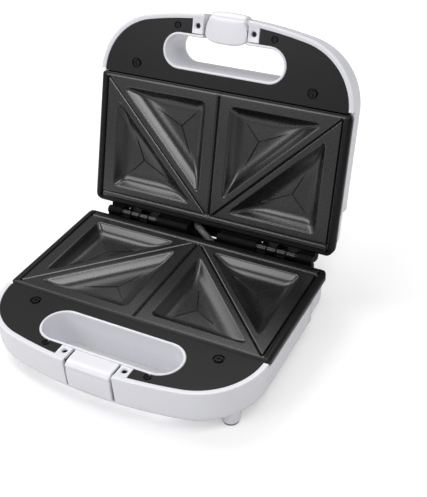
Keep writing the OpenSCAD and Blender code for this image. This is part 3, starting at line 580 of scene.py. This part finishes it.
def latch_width(y):
    """Half width of the latch: narrow at the lip, wide at the flap's free end."""
    return FLAP_X - 0.3 - 3.2 * smooth((-51 - y) / 12)


def shaped_latch():
    """The section carried across, then the hook faded out beyond the middle, the free end
    drawn back towards the sides as a D, the lip drawn in at its ends, and the face crowned
    from side to side."""
    p = carried_across(resampled(latch_section(), 0.45), latch_width, 0.9, 25)
    across = np.abs(p[..., 0]) / FLAP_X
    hooked = (p[..., 1] > FLAP_TIP - 2.3) & (p[..., 2] > FLAP_UNDER)
    kept = smooth((0.66 - across) / 0.3)
    p[..., 2] = np.where(hooked, FLAP_UNDER + (p[..., 2] - FLAP_UNDER) * kept, p[..., 2])
    free, lip_at = PIN_Y + 5, -62.5
    tip = 0.38 + 0.62 * np.sqrt(np.maximum(1 - across ** 3.2, 0))
    p[..., 1] = np.where(p[..., 1] > free, free + (p[..., 1] - free) * tip, p[..., 1])
    lip = 0.3 + 0.7 * np.sqrt(np.maximum(1 - (across / 0.87) ** 3, 0))
    p[..., 1] = np.where(p[..., 1] < lip_at, lip_at + (p[..., 1] - lip_at) * lip, p[..., 1])
    p[..., 2] += 1.1 * across ** 2 * smooth((p[..., 1] + 61.5) / 3) * smooth((3.8 - p[..., 2]) / 2.5)
    return p


def catch_section():
    """Section of the snap tab: flat top, a round that ends in a low bead, a shallow hollow
    under it for the latch's hook, a face a hair back from the wall, and the hollow back."""
    turn = np.linspace(0, math.pi / 2, 11)
    top = np.stack([-REACH + 7.02 - 7 * np.sin(turn), 4.2 - 3.4 * np.cos(turn)], -1)
    face = [(-REACH + 0.12, 4.7), (-REACH + 0.45, 5.4), (-REACH + 0.47, 7.0), (-REACH + 0.2, 8.6),
            (-REACH + 0.15, 10), (-REACH + 0.35, 16), (-REACH + 0.95, 22.8), (-REACH + 1.3, 23.7)]
    back = [(-REACH + 4.3, 23.75), (-REACH + 4.2, 10.5), (-48.2, 10.2), (CATCH_BACK, 9.6),
            (CATCH_BACK, 1.2), (-48.3, 0.8)]
    return np.concatenate([top, face, back])


def screw_ear(x, back):
    """Block that carries a screw, between the tab and the cover panel, with a countersunk
    hole: rings run from the block's outline in to the hole and down its cone and bore."""
    lo, hi, y0, y1 = x - 4.75, x + 4.75, -59.4, back - 0.3
    corners = np.array([(lo, y0), (hi, y0), (hi, y1), (lo, y1)])
    s = np.linspace(0, 1, 10, endpoint=False)[:, None]
    edge = np.concatenate([p + (q - p) * s for p, q in zip(corners, np.roll(corners, -1, 0))])
    hole, top = np.array([x, SCREW_Y]), 0.62
    ring = unit(edge - hole)
    rows = [raise_to(edge, EAR_D), raise_to(edge, 1.0), raise_to(hole + (edge - hole) * 0.96, top)]
    rows += [raise_to(hole + ring * r, d)
             for r, d in [(2.9, top), (2.5, 0.9), (2.1, 2.0), (2.0, 4.0), (1.9, EAR_D)]]
    return np.stack(rows)


# ---- hinges and sleeve ----

KNUCKLE_R, KNUCKLE_LEN, KNUCKLE_STEP = 3.2, 8.2, 8.6
# Section of a leaf's plate, as y and depth
LEAF = np.array([(113.3, 5.6), (115.0, 5.6), (115.2, 6.0), (115.2, 11.5), (114.9, 11.8), (113.5, 11.8),
                 (113.25, 11.5), (113.25, 6.0)])
# Corners and yarns round the sleeve, their spacing along it, and its reach where it turns
SLEEVE_N, YARNS, YARN_GAP, SLEEVE_TURN = 28, 12.0, 1.5, 4.8


def knuckle(x):
    """Rolled knuckle about the hinge line, its ends rounded, with the bore for the pin."""
    r, b, k = KNUCKLE_R, 1.46, 0.45
    half = KNUCKLE_LEN / 2
    edge = arc(half - k, r - k, k, np.linspace(0, 90, 5))
    right = [(p[1], p[0]) for p in edge]
    left = [(p[1], -p[0]) for p in edge[::-1]]
    profile = [(b, -half), *left, *right, (b, half)]
    return revolved(profile, 40, (x, HINGE_Y, 0), "x")


def sleeve_line():
    """Middle line of the lead sleeve in the shared frame, in millimetres: out of the base,
    round the hinge line in a slack bend and into the lid, while it shifts sideways."""
    reach, bend, front, half = 3.8, 6.0, 2.2, LID_OPEN / 2
    drop = reach * math.tan(half)
    t = np.linspace(0, LID_OPEN, 9)
    turn = np.stack([reach - bend * np.cos(t), bend * np.sin(t) - drop], -1)
    leg = np.array([(10.2, 13), (9.7, 10.5), (7.8, 8.3), (5.4, 6.6), (3, 5), (1.3, 3.2), (0.4, 1.5)])
    low = np.stack([-front - leg[:, 0], -drop - leg[:, 1]], -1)
    c, s = math.cos(LID_OPEN), math.sin(LID_OPEN)
    up = np.stack([low[:, 0] * c - low[:, 1] * s, -low[:, 1] * c - low[:, 0] * s], -1)[::-1]
    yz = np.concatenate([low, turn, up])
    i = np.arange(len(yz))
    x = -3 - 10 * np.sin(np.radians(90) * np.clip((i - (len(yz) - 1) / 2) / 7, -1, 1))
    fine = np.linspace(0, len(yz) - 1, 161)
    return np.stack([np.interp(fine, i, x), np.interp(fine, i, yz[:, 0]) + HINGE_Y - CENTRE_Y,
                     np.interp(fine, i, yz[:, 1]) + PARTING_Z], -1)


def braided_tube(line, radius, around):
    """Round section carried along a line: point = line + radius * (cos * side + sin * up),
    where side and up are square to the line; the line is smoothed first."""
    for _ in range(12):
        line[1:-1] = (line[:-2] + 2 * line[1:-1] + line[2:]) / 4
    along = unit(np.gradient(line, axis=0))
    side = unit(np.cross(along, [1.0, 0, 0]))
    up = np.cross(along, side)
    a = np.linspace(0, 2 * np.pi, around, endpoint=False)
    return line[:, None] + radius * (np.cos(a)[None, :, None] * side[:, None]
                                     + np.sin(a)[None, :, None] * up[:, None])


def weave_map(mesh, rings, count):
    """Maps the sleeve for its weave, in yarn spacings: u round it, v along it. The first
    count corners are the side's; a face that closes the round takes its u past the end."""
    loops = np.zeros(len(mesh.loops), np.int32)
    mesh.loops.foreach_get("vertex_index", loops)
    u, v = loops % SLEEVE_N * YARNS / SLEEVE_N, run_along(rings.mean(1))[loops // SLEEVE_N] / YARN_GAP
    side = u[:count].reshape(-1, 4)
    closing = np.ptp(side, axis=1)[:, None] > YARNS / 2
    side[:] = np.where(closing & (side < YARNS / 2), side + YARNS, side)
    mesh.uv_layers.new(name="weave").data.foreach_set("uv", np.stack([u, v], -1).astype(np.float32).ravel())


# ---- materials ----

def linear(code):
    """sRGB hex to linear colour."""
    c = np.array([int(code[i:i + 2], 16) for i in (1, 3, 5)]) / 255
    c = np.where(c <= 0.04045, c / 12.92, ((c + 0.055) / 1.055) ** 2.4)
    return tuple(float(v) for v in c)


def add(tree, kind, links=None, **settings):
    """Adds a shader node with its properties; links give its sockets, by name or number,
    a value, another node's output, or another node, which stands for its first output."""
    node = tree.nodes.new("ShaderNode" + kind)
    for key, value in settings.items():
        setattr(node, key, value)
    for key, value in (links or {}).items():
        value = value.outputs[0] if isinstance(value, bpy.types.Node) else value
        if isinstance(value, bpy.types.NodeSocket):
            tree.links.new(value, node.inputs[key])
        else:
            node.inputs[key].default_value = value
    return node


def blank_material(name):
    """A new material and its node tree, empty."""
    material = bpy.data.materials.new(name)
    material.use_nodes = True
    material.node_tree.nodes.clear()
    return material, material.node_tree


def toned(source, factor=1.0):
    """Linear colour of a hex code or of one of the panel's colours, times a factor."""
    colour = linear(source) if source[0] == "#" else getattr(bpy.context.scene.toaster_colours, source)
    return tuple(min(v * factor, 1) for v in colour)


def finish_material(name, colour, shade, spot, roughness, grain, grain_depth, fixed, wave=0.0,
                    stretch=(1, 1, 1)):
    """A surface whose colour drifts between two tones over spot millimetres, whose gloss
    varies a little, and whose relief is a grain of the given size and depth, in millimetres.
    fixed gives sockets a constant, wave is the depth of a slow unevenness of the surface, and
    stretch scales the whole pattern along each axis."""
    material, tree = blank_material(name)
    where = add(tree, "TexCoord").outputs["Object"]
    where = add(tree, "Mapping", {"Vector": where, "Scale": stretch})
    drift = add(tree, "TexNoise", {"Vector": where, "Scale": 1000 / spot, "Detail": 3.0})
    fine = add(tree, "TexNoise", {"Vector": where, "Scale": 1000 / grain, "Detail": 2.0})
    tone = add(tree, "Mix", {0: drift, 6: (*toned(*colour), 1), 7: (*toned(*shade), 1)},
               data_type="RGBA").outputs[2]
    gloss = add(tree, "MapRange", {"Value": fine, "From Min": 0.3, "From Max": 0.7,
                                   "To Min": roughness[0], "To Max": roughness[1]})
    normal = add(tree, "Bump", {"Height": fine, "Distance": grain_depth / 1000, "Strength": 1.0})
    if wave:
        slow = add(tree, "TexNoise", {"Vector": where, "Scale": 1000 / WAVE_SIZE, "Detail": 1.0})
        normal = add(tree, "Bump", {"Height": slow, "Distance": wave / 1000, "Strength": 1.0,
                                    "Normal": normal})
    shader = add(tree, "BsdfPrincipled", {"Base Color": tone, "Roughness": gloss, "Normal": normal, **fixed})
    add(tree, "OutputMaterial", {"Surface": shader})
    return material


WAVE_SIZE = 14
# What finish_material takes for each finish. The two tones are a hex code or one of the
# panel's colours, and a factor.
FINISH_TABLE = {
    # Moulded, polished ABS: an even soft gloss with the slightest orange peel
    "shell": ("Polished white ABS", ("shell",), ("shell", 0.97), 60, (0.2, 0.28), 0.9, 0.002,
              {"IOR": 1.54}, 0.01),
    # Spark-eroded black moulding: a fine even grain that scatters the light
    "panel": ("Grained black moulding", ("panel",), ("panel", 1.35), 12, (0.36, 0.44), 0.5, 0.006,
              {"IOR": 1.5, "Specular IOR Level": 0.33}),
    # Sprayed non-stick coating on die-cast aluminium: satin, with a fine pebbled grain
    "coating": ("Satin non-stick coating", ("coating",), ("coating", 1.2), 7, (0.25, 0.29), 0.6, 0.0015,
                {"IOR": 1.5, "Specular IOR Level": 1.0}),
    # The same coating on the plate's edge and low beside it: darker as painted shade on the rim, and rougher
    "edge": ("Thin coating on the plate edge", ("coating", 0.45), ("coating", 0.6), 7, (0.3, 0.38),
             0.8, 0.008, {"IOR": 1.5, "Specular IOR Level": 0.35}),
    # Stoved enamel on pressed steel: black and glossy, slightly wavy
    "enamel": ("Black stoved enamel", ("enamel",), ("enamel", 1.4), 20, (0.18, 0.3), 1.2, 0.006,
               {"IOR": 1.5}, 0.01),
    # Matt black paint on the hinge rails, and on the black sheets in the slits, behind the latch window and
    # beside the sleeve, which are painted shade: it takes up the light there
    "rail": ("Matt black paint", ("#060606",), ("#0A0A0A",), 8, (0.6, 0.75), 0.6, 0.01,
             {"IOR": 1.5, "Specular IOR Level": 0.15}),
    # Drawn steel tube of the heater: dull, with streaks along it and faint heat tint
    "heater": ("Drawn heater steel", ("#A9A59E",), ("#837B70",), 9, (0.34, 0.5), 0.6, 0.01,
               {"Metallic": 1.0}, 0, (0.15, 1, 1)),
    # Rolled aluminium sheet: bright, with faint rolling lines
    "sheet": ("Rolled aluminium sheet", ("#DADCDF",), ("#C6C9CE",), 15, (0.18, 0.3), 0.5, 0.004,
              {"Metallic": 1.0}, 0, (0.05, 1, 1)),
    # Turned steel pin: fine rings round it
    "pin": ("Turned steel", ("#C9C8C6",), ("#A5A4A2",), 4, (0.2, 0.32), 0.3, 0.004,
            {"Metallic": 1.0}, 0, (3, 0.3, 0.3)),
    # Zinc-plated underside screws: bright with a faint warm bloom
    "zinc": ("Zinc plate", ("#C4C5C2",), ("#A7A69C",), 3, (0.25, 0.4), 0.5, 0.004, {"Metallic": 1.0}),
    # Black oxide on the cover screws: nearly black steel with an oily sheen
    "oxide": ("Black oxide steel", ("#26262A",), ("#17171A",), 2, (0.3, 0.42), 0.4, 0.006,
              {"Metallic": 0.6}),
    # Soft grey rubber: matt and slightly dusty
    "rubber": ("Grey rubber", ("rubber",), ("rubber", 0.85), 4, (0.75, 0.9), 0.4, 0.03, {"IOR": 1.5}),
    # Pressed steatite of the terminal block: chalky cream with fine pits
    "insulator": ("Pressed steatite", ("#E6E0CC",), ("#D6CDB4",), 5, (0.5, 0.65), 0.6, 0.02,
                  {"IOR": 1.55}),
    # Tinted acrylic: glossy and half clear, with a faint ripple that spreads the lamp's light
    "red": ("Red lens acrylic", ("red_lens",), ("red_lens", 0.8), 3, (0.06, 0.12), 1.0, 0.01,
            {"IOR": 1.49, "Transmission Weight": 0.35}),
    # The same acrylic in green
    "green": ("Green lens acrylic", ("green_lens",), ("green_lens", 0.8), 3, (0.06, 0.12), 1.0, 0.01,
              {"IOR": 1.49, "Transmission Weight": 0.35}),
}
FINISHES = {}


def finish(key):
    """The material of one of the toaster's finishes; all of them are made once, in order."""
    if not FINISHES:
        for name, values in FINISH_TABLE.items():
            FINISHES[name] = finish_material(*values)
        FINISHES["braid"] = braid_material(toned("braid"))
    return FINISHES[key]


def braid_material(colour):
    """Woven glass-fibre sleeve: two crossing sets of yarn, over and under, read from the
    piece's own map (u round it, v along it, in yarn spacings)."""
    material, tree = blank_material("Woven glass-fibre sleeve")
    split = add(tree, "SeparateXYZ", {0: add(tree, "UVMap")})
    sets = []
    for way in ("ADD", "SUBTRACT"):
        across = add(tree, "Math", {0: split.outputs[0], 1: split.outputs[1]}, operation=way)
        sets.append(add(tree, "Math", {0: across, 1: 0.5}, operation="PINGPONG"))
    yarn = add(tree, "Math", {0: sets[0], 1: sets[1]}, operation="MAXIMUM")
    tone = add(tree, "MapRange", {"Value": yarn, "From Min": 0.15, "From Max": 0.45,
                                  "To Min": 0.0, "To Max": 1.0})
    mixed = add(tree, "Mix", {0: tone, 6: (*[c * 0.35 for c in colour], 1), 7: (*colour, 1)},
                data_type="RGBA").outputs[2]
    relief = add(tree, "Bump", {"Height": yarn, "Distance": 0.0006, "Strength": 0.8})
    shader = add(tree, "BsdfPrincipled", {"Base Color": mixed, "Roughness": 0.3, "Normal": relief,
                                          "Specular IOR Level": 1.0})
    add(tree, "OutputMaterial", {"Surface": shader})
    return material


# ---- what a user can change ----

class ToasterSizes(bpy.types.PropertyGroup):
    """Sizes and lights that a user can change"""
    lip: FloatProperty(name="Lip round", description="Round on the rim of both housings",
                       default=0.0005, min=0.0002, max=0.0012, unit="LENGTH", precision=4)
    rib: FloatProperty(name="Pocket rib height", description="Height of the ribs on the pocket floors",
                       default=0.0008, min=0.0002, max=0.0012, unit="LENGTH", precision=4)
    key_light: FloatProperty(name="Key light", description="Power shared out among the six soft lamps",
                             default=5.0, min=0.0, max=500.0, subtype="POWER", unit="POWER")
    room_light: FloatProperty(name="Room light", description="Level of the even light from all round",
                              default=0.27, min=0.0, max=2.0, subtype="FACTOR")


def colour_property(name, code, what):
    """A colour that a user can change, from its hex code."""
    return FloatVectorProperty(name=name, description=what, subtype="COLOR", size=3, min=0, max=1,
                               default=linear(code))


class ToasterColours(bpy.types.PropertyGroup):
    """Colours that a user can change"""
    shell: colour_property("Housing", "#EFEFF5", "Moulded housings, catch and latch")
    panel: colour_property("Cover panels", "#101011", "Black panels round the hand slots")
    coating: colour_property("Plates", "#0E0E0F", "Non-stick coating of the cooking plates")
    enamel: colour_property("Hinges", "#0B0B0C", "Enamelled hinge leaves")
    rubber: colour_property("Foot pads", "#8A8A90", "Rubber under the feet")
    braid: colour_property("Sleeve", "#4A4B4E", "Woven sleeve over the lid's leads")
    red_lens: colour_property("Power lens", "#C8281E", "Lens of the power lamp")
    green_lens: colour_property("Ready lens", "#2F9A3C", "Lens of the ready lamp")


class ToasterStep:
    """What every operator here shares."""
    bl_options = {"REGISTER", "UNDO"}


class TOASTER_OT_housings(ToasterStep, bpy.types.Operator):
    """Builds both moulded housings and the four feet"""
    bl_idname = "toaster.housings"
    bl_label = "Housings"

    def execute(self, context):
        lip = context.scene.toaster_sizes.lip * 1000
        feet = Shape()
        for side in (-1, 1):
            for y in FOOT_YS:
                feet.solid(revolved(foot_profile(), 40, (side * FOOT_X, y, 0)))
        feet.make("feet", "base", "white_shell", "shell", ("base_housing",), weld=True)
        for half, s in HALVES.items():
            body = Shape()
            body.grid(housing_surface(lip=lip, **s), wrap_u=True, wrap_v=True)
            obj = body.make(half + "_shell", half, "white_shell", "shell", (half + "_housing",))
            cut = Shape()
            field = -SLOT_Y - SLOT_R - LINING + s["inset"]
            # The wall ends lower beside the plate than in front of it
            cut.box((-BODY_X - 1, -RIM_BACK, -2), (BODY_X + 1, BODY_BACK + 5, WALL_TOP))
            # The opening for the snap tab and its slits, or for the latch
            if half == "base":
                w = TAB_X + SLIT_W
                cut.box((-w, -REACH - 5, -2), (w, field - 0.25, SLIT_D))
                base_openings(cut)
            else:
                cut.box((-WINDOW_X, -REACH - 5, -2), (WINDOW_X, PIN_Y + 8.6, 18.4))
                cut.box((-WINDOW_X, field - 1, -2), (WINDOW_X, field + LINING + 3, 6.3))
            carve(obj, cut, half)
            # The sleeve's way out, on its own because it touches the first cutter
            channel = Shape()
            channel.box((-17.2, BODY_BACK - 6, 3), (11.2, BODY_BACK + 4, 16.8))
            carve(obj, channel, half)
        return {"FINISHED"}


class TOASTER_OT_plates(ToasterStep, bpy.types.Operator):
    """Builds both cooking plates with their pockets, pressed lines and ribs"""
    bl_idname = "toaster.plates"
    bl_label = "Cooking plates"

    def execute(self, context):
        height = context.scene.toaster_sizes.rib * 1000
        points, faces = plate_mesh()
        edge = rim_shade_faces(np.concatenate([points[f].mean(1) for f in faces]))
        for half in ("base", "lid"):
            plate = Shape()
            plate.points.append(points)
            plate.faces = [f for quads in faces for f in quads.tolist()]
            plate.count = len(points)
            for apex, corners, shares in (RIB_FRONT, RIB_BACK):
                for corner, share in zip(corners, shares):
                    end = np.asarray(apex) + (np.asarray(corner) - apex) * share
                    for mirror in (-1, 1):
                        plate.solid(floor_rib(apex, end, mirror, height))
            obj = plate.make(half + "_cooking_plate", half, "coated_plate", "coating",
                             (half + "_plate",), sharp=70)
            # The rim faces take the darker coating tone: painted shade on the plate's edge
            obj.data.materials.append(finish("edge"))
            on_edge = np.zeros(len(obj.data.polygons), np.int32)
            on_edge[:len(edge)] = edge
            obj.data.polygons.foreach_set("material_index", on_edge)
        return {"FINISHED"}


class TOASTER_OT_latch(ToasterStep, bpy.types.Operator):
    """Builds the swing latch, its bracket, and the snap tab with its screw ears"""
    bl_idname = "toaster.latch"
    bl_label = "Latch and catch"

    def execute(self, context):
        latch = Shape()
        latch.solid(shaped_latch())
        latch.make("latch_flap", "lid", "white_shell", "shell", ("latch",), body="latch", sharp=50)
        # Black sheets inside the snap tab's slits: painted shade that darkens the slits
        slit_shade = Shape()
        middle, w = TAB_X + SLIT_W / 2, 0.9
        for x in (-middle, middle):
            slit_shade.box((x - w, -59.5, 2.6), (x + w, -48.2, 23))
        slit_shade.make("slit_seals", "base", "black_panel", "rail")
        # A black sheet behind the latch window: painted shade inside the window
        window_shade = Shape()
        window_shade.box((-27, -59.0, 18.7), (27, -45.7, 19.4))
        window_shade.make("latch_guard", "lid", "black_panel", "rail")
        tab = Shape()
        section = resampled(catch_section(), 0.6)
        tab.solid(carried_across(section, lambda y: np.full(len(y), TAB_X), 0.7, 9))
        for x in (-CATCH_SCREW_X, CATCH_SCREW_X):
            tab.solid(screw_ear(x, CATCH_BACK))
        tab.box((-29, -50.1, 8), (29, -48.1, 15.4))
        tab.make("snap_tab", "base", "white_shell", "shell", ("catch",), sharp=40)
        ears = Shape()
        for x in (-LATCH_SCREW_X, LATCH_SCREW_X):
            ears.solid(screw_ear(x, LATCH_BACK))
        ears.box((-29, -47.5, 7.6), (29, -45.8, 15.4))
        ears.make("latch_ears", "lid", "white_shell", "shell", ("latch_bracket",), sharp=40)
        return {"FINISHED"}


class TOASTER_OT_hinges(ToasterStep, bpy.types.Operator):
    """Builds the four hinge leaves with their rolled knuckles, and the black sheets beside the sleeve that
    paint shade in its gap
    """
    bl_idname = "toaster.hinges"
    bl_label = "Hinges"

    def execute(self, context):
        slab = carried_across(resampled(LEAF, 0.5), lambda y: np.full(len(y), LEAF_X), 0.3, 5)
        dome = [(0.01, 1.0), (0.8, 0.9), (1.5, 0.55), (2.0, 0), (2.0, -0.5)]
        for half, first in (("base", 0), ("lid", 1)):
            for side, word in ((-1, "left"), (1, "right")):
                leaf = Shape()
                centre = side * HINGE_X
                leaf.solid(slab + [centre, 0, 0])
                for i in (first, first + 2):
                    x, reach = centre - LEAF_X + i * KNUCKLE_STEP + KNUCKLE_LEN / 2, KNUCKLE_LEN / 2
                    leaf.grid(knuckle(x), wrap_u=True, wrap_v=True)
                    leaf.box((x - reach, 113.3, 1.3), (x + reach, HINGE_Y - 2.2, 6.4))
                leaf.box((centre - LEAF_X, 115.1, 10.6), (centre + LEAF_X, 118.15, 11.5))
                for x in (centre - LEAF_X / 2, centre + LEAF_X / 2):
                    leaf.solid(revolved(dome, 24, (x, 115.2, 9.4), "y"))
                leaf.make(f"{half}_leaf_{word}", half, "hinge_steel", "enamel",
                          (f"{half}_hinge_{word}",), sharp=45)
            # Black sheets behind the sleeve's gap: painted shade where the gap would show through
            gap_shade = Shape()
            low, high = (-17.4, -1.0) if half == "base" else (-5.0, 11.4)
            gap_shade.box((low, 119.65, 2.4), (high, 120.4, 6.5))
            gap_shade.make(half + "_sleeve_fin", half, "hinge_steel", "rail")
        return {"FINISHED"}


class TOASTER_OT_sleeve(ToasterStep, bpy.types.Operator):
    """Builds the woven sleeve that carries the lid's leads round the hinge"""
    bl_idname = "toaster.sleeve"
    bl_label = "Lead sleeve"

    def execute(self, context):
        p = braided_tube(sleeve_line(), SLEEVE_R, SLEEVE_N)
        rings, corner = len(p), np.arange(SLEEVE_N)
        mesh = bpy.data.meshes.new("woven_sleeve")
        quads = grid_faces(rings, SLEEVE_N, wrap_v=True)
        ends = [corner[::-1].tolist(), ((rings - 1) * SLEEVE_N + corner).tolist()]
        mesh.from_pydata((p.reshape(-1, 3) / 1000).tolist(), [], quads[:, ::-1].tolist() + ends)
        weave_map(mesh, p, len(quads) * 4)
        rework(mesh, lambda work: bmesh.ops.recalc_face_normals(work, faces=work.faces))
        shade_up_to(mesh, 50)
        mesh.materials.append(finish("braid"))
        obj = in_scene("woven_sleeve", mesh)
        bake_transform(obj)
        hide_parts("lead_sleeve")
        return {"FINISHED"}


KEPT = {
    "panel": ("base_cover", "lid_cover", "cord_inlet"),
    "rail": ("base_hinge_rail", "lid_hinge_rail"),
    "heater": ("base_heater", "lid_heater", "thermostat"),
    "sheet": ("base_shield", "lid_shield"),
    "pin": ("latch_pin",),
    "zinc": ("underside_screws",),
    "oxide": ("hinge_pin_left", "hinge_pin_right", "base_panel_screws", "lid_panel_screws",
              "latch_screws", "catch_screws"),
    "rubber": ("foot_pads",),
    "insulator": ("terminal_block", "thermal_fuse", "lamp_holder"),
    "red": ("power_lens",), "green": ("ready_lens",),
}


class TOASTER_OT_fittings(ToasterStep, bpy.types.Operator):
    """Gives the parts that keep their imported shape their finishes"""
    bl_idname = "toaster.fittings"
    bl_label = "Fittings"

    def execute(self, context):
        for key, names in KEPT.items():
            for name in names:
                mesh = NODES[name].data
                mesh.materials.clear()
                mesh.materials.append(finish(key))
        return {"FINISHED"}


# ---- stage ----

# Focal length, picture height and height of its axis in pixels; sensor width in millimetres
FOCAL, PICTURE_H, AXIS_H, SENSOR = 891.812295869126, 497, 185, 36
# Distances at which the floor's lift starts and is complete, in metres
LIFT_NEAR, LIFT_FAR = 0.35, 1.4
FLOOR_HALF = 4
# The soft lamps: name, place, side length, and power as a share of the key light
LAMPS = (
    ("top_lamp", (0.46, -0.39, 1.12), 0.45, 0.68),
    ("front_lamp", (-0.5, -0.93, 0.66), 0.6, 0.8),
    ("high_left_lamp", (-0.6, 0.0, 1.12), 0.62, 0.76),
    ("low_left_lamp", (-1.1, 0.2, 0.5), 0.6, 0.4),
    ("back_lamp", (-0.16, 0.58, 1.12), 0.8, 0.6),
    ("right_lamp", (1.0, 0.3, 0.7), 0.7, 0.3),
)


def camera_matrix():
    """The camera's place and turn, from a Rodrigues vector and from where the middle of the
    cooking area's front edge lies before the camera, in millimetres; put the right way up
    for a camera that looks along its own negative z."""
    turn = np.array([2.0792564104124622, 0.4769788216749767, -0.3188507716578221])
    offset = np.array([-59.650830059192785, 97.01095392261408, 661.7285908924225])
    angle = np.linalg.norm(turn)
    cross = np.cross(np.eye(3), turn / angle)
    r = np.eye(3) + math.sin(angle) * cross + (1 - math.cos(angle)) * cross @ cross
    where = -r.T @ offset + [0, -CENTRE_Y, PARTING_Z - FACE_D]
    m = np.eye(4)
    m[:3, :3] = r.T @ np.diag([1, -1, -1])
    m[:3, 3] = where / 1000
    return Matrix(m.tolist())


def stage_material(name, colour, lift):
    """Matt pale paint; seen directly it is lifted towards white, more so the farther it lies
    from the middle, and the toaster's own shadow still shows."""
    material, tree = blank_material(name)
    matt = add(tree, "BsdfDiffuse", {"Color": (*colour, 1)})
    ray = add(tree, "LightPath")
    seen = add(tree, "Math", {0: ray.outputs["Is Camera Ray"], 1: ray.outputs["Is Transmission Ray"]},
               operation="MAXIMUM")
    where = add(tree, "TexCoord").outputs["Object"]
    away = add(tree, "VectorMath", {0: where}, operation="LENGTH").outputs["Value"]
    lifted = add(tree, "MapRange", {"Value": away, "From Min": LIFT_NEAR, "From Max": LIFT_FAR,
                                    "To Min": lift, "To Max": 1.0})
    level = add(tree, "Math", {0: seen, 1: lifted}, operation="MULTIPLY")
    both = add(tree, "AddShader", {0: matt, 1: add(tree, "Emission", {"Strength": level})})
    add(tree, "OutputMaterial", {"Surface": both})
    return material


def lamp(name, place_at, target, size, power):
    """A square soft lamp that faces a point."""
    light = bpy.data.lights.new(name, "AREA")
    light.shape, light.size, light.energy = "SQUARE", size, power
    obj = in_scene(name, light)
    z = unit(np.asarray(place_at, float) - target)
    x = unit(np.cross([0, 0, 1], z))
    m = np.eye(4)
    m[:3, :3] = np.stack([x, np.cross(z, x), z], 1)
    m[:3, 3] = place_at
    obj.matrix_world = Matrix(m.tolist())


class TOASTER_OT_stage(ToasterStep, bpy.types.Operator):
    """Builds the floor, the light and the camera"""
    bl_idname = "toaster.stage"
    bl_label = "Stage"

    def execute(self, context):
        scene = context.scene
        sizes = scene.toaster_sizes
        mesh = bpy.data.meshes.new("floor")
        corners = ((-1, -1), (1, -1), (1, 1), (-1, 1))
        mesh.from_pydata([(x * FLOOR_HALF, y * FLOOR_HALF, 0) for x, y in corners], [], [(0, 1, 2, 3)])
        floor = in_scene("floor", mesh)
        mesh.materials.append(stage_material("Pale studio floor", linear("#E8E8E8"), 0.34))
        world = bpy.data.worlds.new("Studio")
        scene.world = world
        world.use_nodes = True
        tree = world.node_tree
        tree.nodes.clear()
        seen = add(tree, "LightPath").outputs["Is Camera Ray"]
        level = add(tree, "MapRange", {"Value": seen, "To Min": sizes.room_light, "To Max": 1.0})
        sky = add(tree, "Background", {"Color": (1, 1, 1, 1), "Strength": level})
        add(tree, "OutputWorld", {"Surface": sky})
        for name, place_at, size, share in LAMPS:
            lamp(name, place_at, (0, 0, 0.08), size, sizes.key_light * share)
        camera = bpy.data.cameras.new("camera")
        camera.sensor_width = SENSOR
        camera.lens = FOCAL * SENSOR / PICTURE_H
        camera.shift_y = (AXIS_H - PICTURE_H / 2) / PICTURE_H
        camera.clip_start = 0.01
        scene.camera = in_scene("camera", camera)
        scene.camera.matrix_world = camera_matrix()
        scene.view_settings.view_transform = "Standard"
        return {"FINISHED"}


class TOASTER_PT_panel(bpy.types.Panel):
    """Lists the toaster's pieces in the 3D view's sidebar"""
    bl_idname = "TOASTER_PT_panel"
    bl_label = "Sandwich toaster"
    bl_space_type = "VIEW_3D"
    bl_region_type = "UI"
    bl_category = "Toaster"

    def draw(self, context):
        for group in (context.scene.toaster_sizes, context.scene.toaster_colours):
            for key in group.bl_rna.properties.keys():
                if key not in ("rna_type", "name"):
                    self.layout.prop(group, key)
        for step in STEPS:
            self.layout.operator(step.bl_idname)


STEPS = (TOASTER_OT_housings, TOASTER_OT_plates, TOASTER_OT_latch, TOASTER_OT_hinges,
         TOASTER_OT_sleeve, TOASTER_OT_fittings, TOASTER_OT_stage)
CLASSES = (ToasterSizes, ToasterColours, *STEPS, TOASTER_PT_panel)


def register():
    for cls in CLASSES:
        bpy.utils.register_class(cls)
    bpy.types.Scene.toaster_sizes = PointerProperty(type=ToasterSizes)
    bpy.types.Scene.toaster_colours = PointerProperty(type=ToasterColours)


def unregister():
    del bpy.types.Scene.toaster_sizes
    del bpy.types.Scene.toaster_colours
    for cls in reversed(CLASSES):
        bpy.utils.unregister_class(cls)


def main():
    """Registers the classes and builds every piece in order."""
    register()
    for step in STEPS:
        group, name = step.bl_idname.split(".")
        getattr(getattr(bpy.ops, group), name)()


if __name__ == "__main__":
    main()
